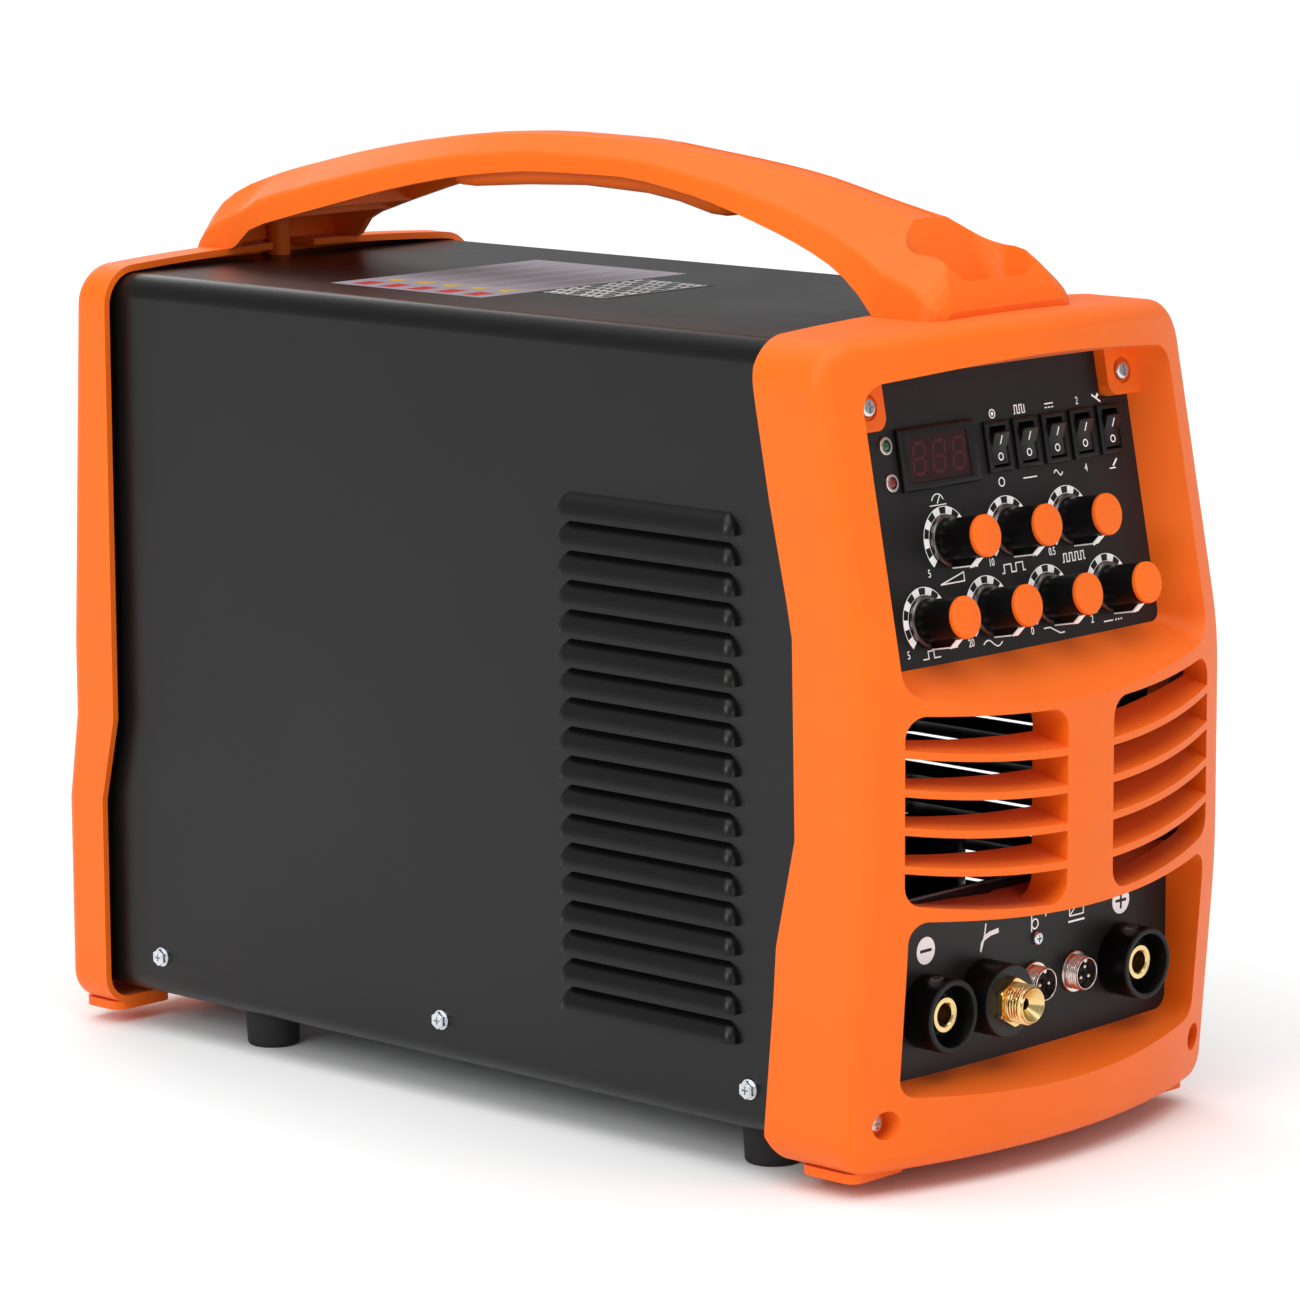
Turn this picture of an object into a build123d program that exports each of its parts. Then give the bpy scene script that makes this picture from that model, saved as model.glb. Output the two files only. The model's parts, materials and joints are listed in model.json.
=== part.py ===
from build123d import *
import math
import os

os.makedirs("parts", exist_ok=True)

# TIG welding machine, millimetres. Z = 0 is the floor under the rubber feet.
# Drawn with Y = 0 on the front panels' plane; saved with the origin at mid-length.
Y_MID = 217.5

# Sheet-metal case
COVER_HALF = 108.4
COVER_TOP = 345.0
COVER_BOTTOM = 18.0
COVER_T = 1.2
COVER_Y0 = 30.0
COVER_Y1 = 455.0
COVER_TOP_R = 10.0
COVER_LOW_R = 9.0
COVER_LIP = 9.4
LOUVRES = 18
LOUVRE_PITCH = 12.353
LOUVRE_TOP_Z = 265.1
LOUVRE_H = 9.0
LOUVRE_OUT = 5.4
LOUVRE_Y0 = 61.2
LOUVRE_Y1 = 161.0
SIDE_SCREW_Y = (55.5, 234.0, 413.0)
SIDE_SCREW_Z = 37.0
PAN_Z = 19.4
SHEET_T = 1.5
PLATE_HALF = 106.8

# Moulded bezels
BEZEL_HALF = 116.0
BEZEL_BOTTOM = 10.0
BEZEL_TOP = 350.0
BEZEL_WALL = 3.0
TOP_SAG = 3.3
TOP_SAG_HALF = 98.0
FRONT_Y = -34.4
BOW_R = 286.0
LEAN = 0.193
LOW_LEAN = math.radians(4.7)
LEAN_FROM_Z = 208.0
LOW_LEAN_FROM_Z = 110.0
EDGE_R = 9.0
GRILLE_BACK_Y = -15.4
GRILLE_BACK_BOW_R = 480.0
REAR_TOP = 352.0

# Handle fixings: two screws down into the front bezel, one up through the cover into a rear boss
HANDLE_FRONT_SCREW_X = 14.0
HANDLE_FRONT_SCREW_Y = 27.0
HANDLE_REAR_Y = 445.0
HANDLE_WALL = 3.0
HANDLE_SCREW_SEAT_Z = 356.0

# Control panel: (x, v) across and up its face, h out of it
PANEL_Y = 7.68
PANEL_Z = 246.04
PANEL_T = 2.0
ROCKER_X0 = 0.2
ROCKER_PITCH = 18.42
ROCKER_V = 48.8
ROCKER_TILT = 12.0
KNOB_PITCH = 39.2
KNOBS = [((i - 1) * KNOB_PITCH, 14.5) for i in range(3)] + [((i - 1.5) * KNOB_PITCH, -16.3) for i in range(4)]
METER = (-38.3, 48.9)
LEDS = ((-68.7, 56.0), (-68.0, 40.9))
PANEL_SCREW = (81.5, 72.4)
PANEL_SCREW_SEAT_H = 3.95
EAR_X = 71.3
EAR_V = 62.3
EAR_H = 5.4
SHAFT_R = 3.0
SHAFT_CLEARANCE = 0.05

# Connector panel
SOCKET_X = 63.5
SOCKET_Z = 70.7
SOCKET_R = 15.35
SOCKET_OUT = 15.0
GAS_X = -27.3
GX_X = (5.2, 32.0)
PIN_CIRCLE_R = 2.9
PIN_ANGLES = ((0, 180), (90, 210, 330))
CORNER_SCREW_X = 100.3
CORNER_SCREW_Z = 31.7

# Rear
REAR_PLATE_Y = 446.4
FAN_Z = 150.0
FAN_SIZE = 120.0
FAN_DEPTH = 25.0
MAINS_X = -57.0
MAINS_Z = 280.0
MAINS_TILT = 11.0

# Feet
FOOT_X = 83.0
FOOT_Y = (66.0, 368.0)

# Inside
BOARD_Z = 62.0


# ---------------------------------------------------------------- helpers
def block(x0, x1, y0, y1, z0, z1):
    return Pos((x0 + x1) / 2, (y0 + y1) / 2, (z0 + z1) / 2) * Box(x1 - x0, y1 - y0, z1 - z0)


def rod_x(x0, x1, y, z, r):
    return Pos((x0 + x1) / 2, y, z) * Rot(0, 90, 0) * Cylinder(r, abs(x1 - x0))


def rod_y(x, y0, y1, z, r):
    return Pos(x, (y0 + y1) / 2, z) * Rot(90, 0, 0) * Cylinder(r, abs(y1 - y0))


def rod_z(x, y, z0, z1, r):
    return Pos(x, y, (z0 + z1) / 2) * Cylinder(r, abs(z1 - z0))


def polygon_x(points, x0, x1):
    """A prism along X from a side outline of (y, z) points."""
    face = Face(Wire([e for e in Polyline(*[(x0, y, z) for y, z in points], close=True).edges()]))
    return extrude(face, amount=x1 - x0, dir=(1, 0, 0))


def on_panel(x, v, h=0.0):
    """Location on the leaning control panel: local Z out of the panel, local Y up its face."""
    s, c = math.sin(LEAN), math.cos(LEAN)
    origin = (x, PANEL_Y + v * s - h * c, PANEL_Z + v * c + h * s)
    return Plane(origin=origin, x_dir=(1, 0, 0), z_dir=(0, -c, s)).location


def panel_box(x0, x1, v0, v1, h0, h1):
    return on_panel(0, 0) * block(x0, x1, v0, v1, h0, h1)


def save(name, *solids):
    shape = solids[0] if len(solids) == 1 else Compound(children=list(solids))
    export_step(shape.moved(Location((0, -Y_MID, 0))), f"parts/{name}.step")


def one(shape):
    """The single solid of a boolean result."""
    solids = shape.solids()
    return max(solids, key=lambda s: s.volume)


# ---------------------------------------------------------------- sheet-metal case
def louvre_hood(side, out, height, z, y0, y1, slot=0.0):
    """One pressed louvre with rounded ends; slot extends it inwards, through the sheet."""
    hood_line = ThreePointArc((out, 0), (out * 0.72, height * 0.58), (0, height))
    base_line = Polyline((0, height), (0, 0), (out, 0))
    face = Plane.XZ * Face(Wire(hood_line.edges() + base_line.edges()))
    middle = Pos(0, y1 - out, 0) * extrude(face, amount=y1 - y0 - 2 * out, dir=(0, -1, 0))
    cap = revolve(face, Axis.Z, 180)
    hood = middle + Pos(0, y0 + out, 0) * Rot(0, 0, -90) * cap + Pos(0, y1 - out, 0) * cap
    if slot > 0:
        hood += block(-slot, 0.5, y0 + out, y1 - out, 0, height)
    hood = Pos(COVER_HALF, 0, z) * hood
    return hood if side > 0 else mirror(hood, about=Plane.YZ)


def cover_outline(inset):
    half = COVER_HALF - inset
    low = COVER_BOTTOM + inset
    top = COVER_TOP - inset
    face = make_face(Polyline((-half, low), (half, low), (half, top), (-half, top), close=True))
    tops = face.vertices().sort_by(Axis.Y)[-2:]
    face = fillet(tops, COVER_TOP_R - inset)
    lows = face.vertices().sort_by(Axis.Y)[:2]
    face = fillet(lows, COVER_LOW_R - inset)
    return Pos(0, COVER_Y1, 0) * Rot(90, 0, 0) * extrude(face, amount=COVER_Y1 - COVER_Y0)


def cover_slot():
    """The room that the cover's edges take inside the bezels."""
    return cover_outline(-0.25) - cover_outline(COVER_T + 0.25)


def body_cover():
    cover = cover_outline(0) - cover_outline(COVER_T)
    gap = COVER_HALF - COVER_LIP
    cover -= block(-gap, gap, COVER_Y0 - 1, COVER_Y1 + 1, COVER_BOTTOM - 1, COVER_BOTTOM + 3)
    hoods, hollows = [], []
    for side in (-1, 1):
        for i in range(LOUVRES):
            z = LOUVRE_TOP_Z - i * LOUVRE_PITCH
            hoods.append(louvre_hood(side, LOUVRE_OUT, LOUVRE_H, z, LOUVRE_Y0, LOUVRE_Y1))
            hollows.append(louvre_hood(side, LOUVRE_OUT - COVER_T, LOUVRE_H - 2.2, z - 0.01,
                                       LOUVRE_Y0 + 1.3, LOUVRE_Y1 - 1.3, 3.0))
        for y in SIDE_SCREW_Y:
            hollows.append(rod_x(side * (COVER_HALF - 5), side * (COVER_HALF + 2), y, SIDE_SCREW_Z, 2.6))
    hollows.append(rod_z(0, HANDLE_REAR_Y, 330, 350, 2.3))
    cover = cover.fuse(*hoods)
    cover = cover.cut(*hollows)
    return one(cover)


def base_pan():
    y0, y1 = 8.5, REAR_PLATE_Y - 0.4
    pan = block(-PLATE_HALF, PLATE_HALF, y0, y1, PAN_Z, 52)
    pan = fillet(pan.edges().filter_by(Axis.Y).group_by(Axis.Z)[0], 8.4)
    pan -= block(-PLATE_HALF + SHEET_T, PLATE_HALF - SHEET_T, y0 - 1, y1 + 1, PAN_Z + 8.0, 53)
    pan -= block(-PLATE_HALF + 9, PLATE_HALF - 9, y0 - 1, y1 + 1, PAN_Z + SHEET_T, 53)
    for side in (-1, 1):
        for y in SIDE_SCREW_Y:
            pan -= rod_x(side * (PLATE_HALF - 4), side * (PLATE_HALF + 2), y, SIDE_SCREW_Z, 2.3)
        for y in FOOT_Y:
            pan -= rod_z(side * FOOT_X, y, PAN_Z - 2, PAN_Z + 4, 2.6)
    for x in (-84, 84):
        for y in (60, 230, 400):
            pan += rod_z(x, y, PAN_Z + SHEET_T, BOARD_Z, 3.5)
    for i in range(7):
        pan -= block(-45, 45, 120 + i * 22, 128 + i * 22, PAN_Z - 1, PAN_Z + 3)
    return one(pan)


def front_plate():
    """Upright lower half with the grille window, a shelf, and a leaning half behind the control panel."""
    shelf_z = 207.5
    low = block(-PLATE_HALF, PLATE_HALF, PANEL_T, PANEL_T + SHEET_T, PAN_Z + 2.0, shelf_z + SHEET_T)
    low -= block(-98, 98, 0, 10, 118, 203)
    shelf = block(-PLATE_HALF, PLATE_HALF, PANEL_T, 10.8, shelf_z, shelf_z + SHEET_T)
    top = panel_box(-PLATE_HALF, PLATE_HALF, -38, 92, -11.0, -9.5)
    top -= panel_box(-78, 84, -30, 61, -20, 0)
    plate = low + shelf + top
    for x in (-SOCKET_X, SOCKET_X):
        plate -= rod_y(x, 0, 10, SOCKET_Z, 12.3)
    plate -= rod_y(GAS_X, 0, 10, SOCKET_Z, 12.3)
    for x in GX_X:
        plate -= rod_y(x, 0, 10, SOCKET_Z, 7.6)
    plate -= rod_y(7.4, 0, 10, 89.0, 1.8)
    for side in (-1, 1):
        plate -= rod_y(side * CORNER_SCREW_X, 0, 10, CORNER_SCREW_Z, 2.3)
        plate -= on_panel(side * PANEL_SCREW[0], PANEL_SCREW[1], -10) * Cylinder(2.3, 10)
    return one(plate)


def rear_plate():
    y0, y1 = REAR_PLATE_Y, REAR_PLATE_Y + SHEET_T
    plate = block(-PLATE_HALF, PLATE_HALF, y0, y1, PAN_Z + 2.0, 338)
    plate = fillet(plate.edges().filter_by(Axis.Y), 8.4)
    plate -= rod_y(0, y0 - 2, y1 + 2, FAN_Z, 57)
    plate -= block(-72.2, -41.8, y0 - 2, y1 + 2, 268.8, 291.2)
    plate -= rod_y(58, y0 - 2, y1 + 2, 280, 6.1)
    plate -= rod_y(58, y0 - 2, y1 + 2, 60, 10.1)
    plate -= rod_y(-60, y0 - 2, y1 + 2, 60, 3.2)
    for x in (-1, 1):
        for z in (-1, 1):
            plate -= rod_y(x * 52.5, y0 - 2, y1 + 2, FAN_Z + z * 52.5, 2.2)
    for x, z in rear_screw_places():
        plate -= rod_y(x, y0 - 2, y1 + 2, z, 2.3)
    for i in range(6):
        plate -= block(-40, 40, y0 - 2, y1 + 2, 232 + i * 6, 235 + i * 6)
    return one(plate)


# ---------------------------------------------------------------- front bezel
def ramp(t, half):
    """0 before t = 0 and t after it, with a parabola between."""
    if t <= -half:
        return 0.0
    if t >= half:
        return t
    return (t + half) ** 2 / (4 * half)


def face_y(z):
    """Y of the bowed front face on the centre line at height z."""
    return (FRONT_Y + math.tan(LEAN) * ramp(z - LEAN_FROM_Z, 16)
            + math.tan(LOW_LEAN) * ramp(LOW_LEAN_FROM_Z - z, 16))


def bow_solid(offset, ahead=90.0, half=135.0):
    """Everything in front of the bowed, leaning face moved back by offset."""
    faces = []
    for z in (-20, 30, 70, 94, 102, 110, 118, 126, 150, 170, 192, 200, 208, 216, 224, 250, 290, 330, 380):
        y = face_y(z) + offset
        end = y + half * half / (2 * BOW_R)
        arc = ThreePointArc((-half, end, z), (0, y, z), (half, end, z))
        back = Polyline((half, end, z), (half, -ahead, z), (-half, -ahead, z), (-half, end, z))
        faces.append(Face(Wire(arc.edges() + back.edges())))
    return loft(faces, ruled=True)


def elevation(half, low, top, top_r, low_r, y0, y1):
    """Front outline with a crowned top and rounded corners, as a prism along Y."""
    crown = TOP_SAG * (half / TOP_SAG_HALF) ** 2
    sides = Polyline((-half, top - crown), (-half, low), (half, low), (half, top - crown))
    arc = ThreePointArc((half, top - crown), (0, top), (-half, top - crown))
    face = Face(Wire(sides.edges() + arc.edges()))
    corners = face.vertices().sort_by(Axis.Y)
    face = fillet(corners[-2:], top_r)
    face = fillet(face.vertices().sort_by(Axis.Y)[:2], low_r)
    return Pos(0, y1, 0) * Rot(90, 0, 0) * extrude(face, amount=y1 - y0)


def bezel_outer():
    body = elevation(BEZEL_HALF, BEZEL_BOTTOM, BEZEL_TOP, 20, 14, -60, 49)
    body = one(body - bow_solid(0))
    return body


def bezel_cavity():
    t = BEZEL_WALL
    body = elevation(BEZEL_HALF - t, BEZEL_BOTTOM + t, BEZEL_TOP - t, 17, 11, -60, 70)
    return one(body - bow_solid(t))


SKIRT_EDGE = [(48, 335), (45, 318), (38, 282), (29, 243), (26, 228), (24.6, 146), (34.6, 101), (36, 79),
              (41.3, 21), (36.3, 10.5)]


def behind_skirt():
    points = [(48, 370)] + SKIRT_EDGE + [(36.3, -5), (120, -5), (120, 370)]
    return polygon_x(points, -150, 150)


def arc_outline(half, low, low_sag, top, top_sag, low_r, top_r):
    """Rounded outline in (x, z): the bottom edge rises by low_sag and the top by top_sag at the sides."""
    bottom = ThreePointArc((-half, low + low_sag), (0, low), (half, low + low_sag))
    right = Line((half, low + low_sag), (half, top + top_sag))
    upper = ThreePointArc((half, top + top_sag), (0, top), (-half, top + top_sag))
    left = Line((-half, top + top_sag), (-half, low + low_sag))
    face = Face(Wire([bottom.edge(), right.edge(), upper.edge(), left.edge()]))
    lows = face.vertices().sort_by(Axis.Y)[:2]
    face = fillet(lows, low_r)
    tops = face.vertices().sort_by(Axis.Y)[-2:]
    return fillet(tops, top_r)


def control_opening(grow):
    """Funnel from the panel's visible edge out to the bezel's face."""
    depth = 40.0
    back = arc_outline(89.2 + grow, -34.6 - grow, 0.5, 82.5 + grow, -0.5, 5, 5)
    front = arc_outline(109.6 + grow, -62.2 - grow, 5.5, 83.7 + grow, -6.0, 20, 20)
    back = on_panel(0, 0, -0.01) * back
    front = on_panel(0, 0, depth) * front
    return loft([back, front], ruled=True)


def connector_opening(grow):
    back = arc_outline(94.5 + grow, 43.0 - grow, 1.5, 110.6 + grow, 5.0, 7, 8)
    front = arc_outline(97.5 + grow, 34.2 - grow, 5.0, 109.4 + grow, 6.6, 10, 9)
    place_back = Pos(0, 0.01, 0) * Rot(90, 0, 0)
    place_front = Pos(0, -36, 0) * Rot(90, 0, 0)
    return loft([place_back * back, place_front * front], ruled=True)


def window_outline(grow):
    """The right-hand grille window in (x, z)."""
    x0, x1 = 14.8 - grow, 98.0 + grow
    low = lambda x: 112.6 - grow + x * x / 950.0
    top = lambda x: 193.4 + grow + x * x / 1576.0
    mid = (x0 + x1) / 2
    bottom = ThreePointArc((x0, low(x0)), (mid, low(mid)), (x1, low(x1)))
    right = Line((x1, low(x1)), (x1, top(x1)))
    upper = ThreePointArc((x1, top(x1)), (mid, top(mid)), (x0, top(x0)))
    left = Line((x0, top(x0)), (x0, low(x0)))
    face = Face(Wire([bottom.edge(), right.edge(), upper.edge(), left.edge()]))
    return fillet(face.vertices(), 9 + grow)


def grille_window(side, grow, y0=-60, y1=5):
    prism = Pos(0, y1, 0) * Rot(90, 0, 0) * extrude(window_outline(grow), amount=y1 - y0)
    return prism if side > 0 else mirror(prism, about=Plane.YZ)


def behind_grille():
    """Everything behind the grille's bowed back face."""
    y = GRILLE_BACK_Y
    half = 110.0
    end = y + half * half / (2 * GRILLE_BACK_BOW_R)
    arc = ThreePointArc((-half, end), (0, y), (half, end))
    rest = Polyline((half, end), (half, 60), (-half, 60), (-half, end))
    face = Face(Wire(arc.edges() + rest.edges()))
    return Pos(0, 0, 100) * extrude(face, amount=110)


SLATS = 4
SLAT_PITCH = 15.6
SLAT_TOP_Z = 175.2
SLAT_T = 3.2
SLAT_RISE = 0.24
SLAT_R = 980.0


def slat(i):
    """One curved slat, rising towards the back."""
    z = SLAT_TOP_Z - i * SLAT_PITCH
    half = 112.0
    sag = half * half / (2 * SLAT_R)
    low = ThreePointArc((-half, z - SLAT_T / 2 + sag), (0, z - SLAT_T / 2), (half, z - SLAT_T / 2 + sag))
    top = ThreePointArc((half, z + SLAT_T / 2 + sag), (0, z + SLAT_T / 2), (-half, z + SLAT_T / 2 + sag))
    ends = [Line((half, z - SLAT_T / 2 + sag), (half, z + SLAT_T / 2 + sag)),
            Line((-half, z + SLAT_T / 2 + sag), (-half, z - SLAT_T / 2 + sag))]
    face = Face(Wire([low.edge(), ends[0].edge(), top.edge(), ends[1].edge()]))
    face = Pos(0, FRONT_Y - 0.1, 0) * Rot(90, 0, 0) * face
    length = 34.0
    return extrude(face, amount=length, dir=(0, 1, SLAT_RISE))


def ear(side):
    """Screw tab in an upper corner of the control opening."""
    x1 = 100.0
    outline = Pos((EAR_X + x1) / 2, EAR_V + 15) * RectangleRounded(x1 - EAR_X, 30, 6)
    tab = on_panel(0, 0, -9.4) * extrude(outline, amount=9.4 + EAR_H)
    tab = tab if side > 0 else mirror(tab, about=Plane.YZ)
    return tab


def front_bezel():
    outer = bezel_outer()
    outer = one(fillet(outer.edges().filter_by(on_face), EDGE_R))
    shell = outer - bezel_cavity()
    solid_front = outer - panel_box(-130, 130, -60, 130, -90, 0) - block(-130, 130, 0, 90, 0, 211.5)
    grille = grille_window(1, BEZEL_WALL) + grille_window(-1, BEZEL_WALL)
    grille -= behind_grille()
    walls = control_opening(BEZEL_WALL) + connector_opening(BEZEL_WALL)
    walls = (walls & solid_front) + (grille & outer)
    tabs = (ear(1) + ear(-1)) & outer
    posts = [rod_y(side * CORNER_SCREW_X, -20, PANEL_T, CORNER_SCREW_Z, 8.2) & outer for side in (-1, 1)]
    bezel = shell + walls
    bezel -= control_opening(0)
    bezel -= connector_opening(0)
    windows = grille_window(1, 0) + grille_window(-1, 0)
    bezel -= windows
    slats = (slat(0) + slat(1) + slat(2) + slat(3)) & windows & outer
    slats -= behind_grille()
    bezel = bezel + slats + tabs + posts[0] + posts[1]
    for side in (-1, 1):
        bezel -= rod_y(side * CORNER_SCREW_X, -40, -3.5, CORNER_SCREW_Z, 6.0)
        bezel -= rod_y(side * CORNER_SCREW_X, -10, 10, CORNER_SCREW_Z, 2.6)
        recess = on_panel(side * PANEL_SCREW[0], PANEL_SCREW[1], PANEL_SCREW_SEAT_H)
        bezel -= recess * Pos(0, 0, 5) * Cylinder(5.6, 10)
        bezel -= recess * Pos(0, 0, -7) * Cylinder(2.6, 20)
        bezel -= rod_z(side * HANDLE_FRONT_SCREW_X, HANDLE_FRONT_SCREW_Y, 330, 352, 2.6)
    bezel -= behind_skirt()
    bezel -= cover_slot()
    for side in (-1, 1):
        pad = Pos(side * 92, 14, 8.6) * Box(34, 30, 4)
        bezel += fillet(pad.edges().filter_by(Axis.Z), 6)
    return one(bezel)


def on_face(edge):
    """True for an edge that lies in the bowed front face."""
    c = edge @ 0.5
    return abs(c.Y - (face_y(c.Z) + c.X ** 2 / (2 * BOW_R))) < 0.6


# ---------------------------------------------------------------- rear bezel
def rear_screw_places():
    return [(-98.0, 44.0), (98.0, 44.0), (-98.0, 318.0), (98.0, 318.0)]


def rear_outer():
    body = elevation(BEZEL_HALF, BEZEL_BOTTOM, REAR_TOP, 18, 14, 430, 480)
    outline = [(435, 370), (435, 144), (443.5, 106), (443.5, 0), (469.4, 0), (469.4, 105), (463.7, 144),
               (463.7, 177), (456.7, 333), (454.0, 370)]
    body = one(body & polygon_x(outline, -150, 150))
    return one(fillet(outline_edges(body), 7))


def rear_bezel():
    body = rear_outer()
    t = BEZEL_WALL
    cavity = elevation(BEZEL_HALF - t, BEZEL_BOTTOM + t, REAR_TOP - t, 15, 11, 420, 500)
    inner = [(400, 370), (400, 0), (466.4, 0), (466.4, 105), (460.7, 144), (460.7, 177), (453.7, 333), (451, 370)]
    cavity = cavity & polygon_x(inner, -150, 150)
    shell = body - cavity
    opening = Pos(0, 500, 182) * Rot(90, 0, 0) * extrude(RectangleRounded(172, 284, 12), amount=100)
    rim = Pos(0, 500, 182) * Rot(90, 0, 0) * extrude(RectangleRounded(178, 290, 15), amount=52.1)
    shell = shell + (rim & body) - opening
    for x, z in rear_screw_places():
        post = rod_y(x, REAR_PLATE_Y + SHEET_T, 480, z, 8) & body
        shell += post
    for x, z in rear_screw_places():
        shell -= rod_y(x, 452.5, 490, z, 5.6)
        shell -= rod_y(x, 440, 490, z, 2.6)
    shell -= cover_slot()
    shell -= block(-13, 13, 430, 452, 340, 360)
    for side in (-1, 1):
        pad = Pos(side * 92, 456, 8.6) * Box(34, 24, 4)
        shell += fillet(pad.edges().filter_by(Axis.Z), 6)
    return one(shell)


def outline_edges(body):
    """The edges round the outside of the faces that look to the rear."""
    edges = [edge for face in body.faces() if face.normal_at().Y > 0.5 for edge in face.edges()]

    def times_used(edge):
        return sum(1 for other in edges if (other.center() - edge.center()).length < 1e-4)

    return [edge for edge in edges if times_used(edge) == 1]


# ---------------------------------------------------------------- handle
# y, underside z, crest z, half width at the underside, at the shoulder and at the crest
HANDLE_STATIONS = [
    (11.5, 348.0, 352.5, 38.5, 38.0, 35.0),
    (14.5, 348.0, 359.0, 44.0, 43.0, 33.0),
    (20.0, 348.0, 368.5, 46.0, 43.5, 29.0),
    (30.0, 348.0, 377.5, 46.0, 42.5, 22.0),
    (44.5, 349.2, 383.6, 45.5, 40.0, 13.0),
    (57.0, 359.4, 386.6, 43.0, 37.0, 9.0),
    (78.5, 369.4, 391.5, 38.0, 32.0, 7.0),
    (120.0, 380.7, 400.3, 30.0, 25.0, 6.0),
    (172.0, 391.0, 406.5, 22.5, 19.5, 6.5),
    (215.0, 395.0, 410.0, 18.5, 16.5, 7.5),
    (260.0, 394.5, 410.5, 18.0, 16.0, 7.5),
    (300.0, 391.0, 408.6, 19.5, 17.0, 7.0),
    (340.0, 383.8, 403.8, 23.5, 20.0, 6.5),
    (380.0, 373.5, 396.6, 30.0, 26.0, 8.0),
    (404.0, 366.8, 390.8, 35.0, 31.0, 11.5),
    (422.0, 361.0, 385.8, 38.8, 35.5, 17.0),
    (431.0, 352.5, 382.4, 40.4, 37.6, 21.0),
    (440.0, 349.0, 378.2, 41.5, 39.4, 26.0),
    (448.0, 347.0, 372.0, 41.8, 40.4, 30.5),
    (453.5, 347.0, 363.0, 41.4, 40.6, 34.0),
    (457.0, 347.0, 352.5, 40.6, 40.0, 36.5),
]


def handle_section(y, low, crest, half_low, half_mid, half_top, inset):
    """One cross-section: upright lower sides, sloping shoulders, narrow crest."""
    mid = low + (crest - low) * 0.5
    half_low, half_mid = half_low - inset, half_mid - inset
    half_top = max(half_top - inset * 0.5, 2.5)
    crest, mid = crest - inset, mid - inset * 0.4
    base = low - (2.0 if inset else 0.0)
    points = [(-half_low, base), (half_low, base), (half_mid, mid), (half_top, crest), (-half_top, crest),
              (-half_mid, mid)]
    face = make_face(Polyline(*points, close=True))
    upper = [v for v in face.vertices() if v.Y > mid + 0.1]
    face = fillet(upper, min(0.8 * half_top, 0.35 * (crest - mid), 4.0))
    middle = [v for v in face.vertices() if abs(v.Y - mid) <= 0.1]
    face = fillet(middle, min(0.3 * (crest - low), 6.0))
    return Pos(0, y, 0) * Rot(90, 0, 0) * face


def smooth_stations(stations, y0, y1, count):
    """Read the station table at even steps along a smooth curve through its rows."""
    columns = list(zip(*stations))
    places = columns[0]
    tables = [monotone_slopes(places, column) for column in columns[1:]]
    rows = []
    for i in range(count):
        y = y0 + (y1 - y0) * (0.5 - 0.5 * math.cos(math.pi * i / (count - 1)))
        values = [read_curve(places, column, slopes, y) for column, slopes in zip(columns[1:], tables)]
        rows.append((y, *values))
    return rows


def monotone_slopes(xs, ys):
    """Slopes of a smooth curve that never overshoots its points."""
    steps = [(ys[i + 1] - ys[i]) / (xs[i + 1] - xs[i]) for i in range(len(xs) - 1)]
    slopes = [steps[0]]
    for a, b in zip(steps, steps[1:]):
        slopes.append(0.0 if a * b <= 0 else 2 * a * b / (a + b))
    slopes.append(steps[-1])
    return slopes


def read_curve(xs, ys, slopes, x):
    i = max(k for k in range(len(xs) - 1) if xs[k] <= x + 1e-9)
    span = xs[i + 1] - xs[i]
    t = (x - xs[i]) / span
    value = (2 * t**3 - 3 * t**2 + 1) * ys[i] + (3 * t**2 - 2 * t**3) * ys[i + 1]
    return value + (t**3 - 2 * t**2 + t) * span * slopes[i] + (t**3 - t**2) * span * slopes[i + 1]


def handle_loft(stations, inset, y0, y1, count):
    return loft([handle_section(*row, inset) for row in smooth_stations(stations, y0, y1, count)], ruled=True)


def screw_pocket(grow):
    """Scoop in the handle's front shoulder that the two front screws sit in."""
    floor = Pos(0, 28.0, HANDLE_SCREW_SEAT_Z - grow) * RectangleRounded(44 + 2 * grow, 13 + 2 * grow, 5 + grow)
    mouth = Pos(0, 28.0, 396.0) * RectangleRounded(70 + 2 * grow, 63 + 2 * grow, 18 + grow)
    return loft([floor, mouth], ruled=True)


def handle():
    outer = handle_loft(HANDLE_STATIONS, 0, HANDLE_STATIONS[0][0], HANDLE_STATIONS[-1][0], 46)
    inner = handle_loft(HANDLE_STATIONS, HANDLE_WALL, 20.0, 449.0, 44)
    body = (outer - inner) + (screw_pocket(HANDLE_WALL) & outer)
    ribs = [block(-60, 60, y, y + 2.0, 340, 420) & inner & outer for y in (386.0, 404.0, 422.0)]
    lift = block(-60, 60, 380, 430, 340, 366)
    for rib in ribs:
        body += rib - lift
    body -= screw_pocket(0)
    for side in (-1, 1):
        x, y = side * HANDLE_FRONT_SCREW_X, HANDLE_FRONT_SCREW_Y
        body += rod_z(x, y, 349.0, HANDLE_SCREW_SEAT_Z - 1.5, 5.5)
        body -= rod_z(x, y, 340, 364, 2.6)
    body += rod_z(0, HANDLE_REAR_Y, COVER_TOP + 0.05, 373.0, 5.2)
    body -= rod_z(0, HANDLE_REAR_Y, 340, 362, 2.3)
    body -= elevation(BEZEL_HALF, 300, BEZEL_TOP + 0.05, 20, 5, 0, 49)
    clear_of_boss = rod_z(0, HANDLE_REAR_Y, 200, 400, 5.3)
    body -= Pos(0, 0, 0.05) * rear_outer() - clear_of_boss
    body -= block(-60, 60, 400, 434.9, 330, COVER_TOP + 0.6) - clear_of_boss
    return one(body)


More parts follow.
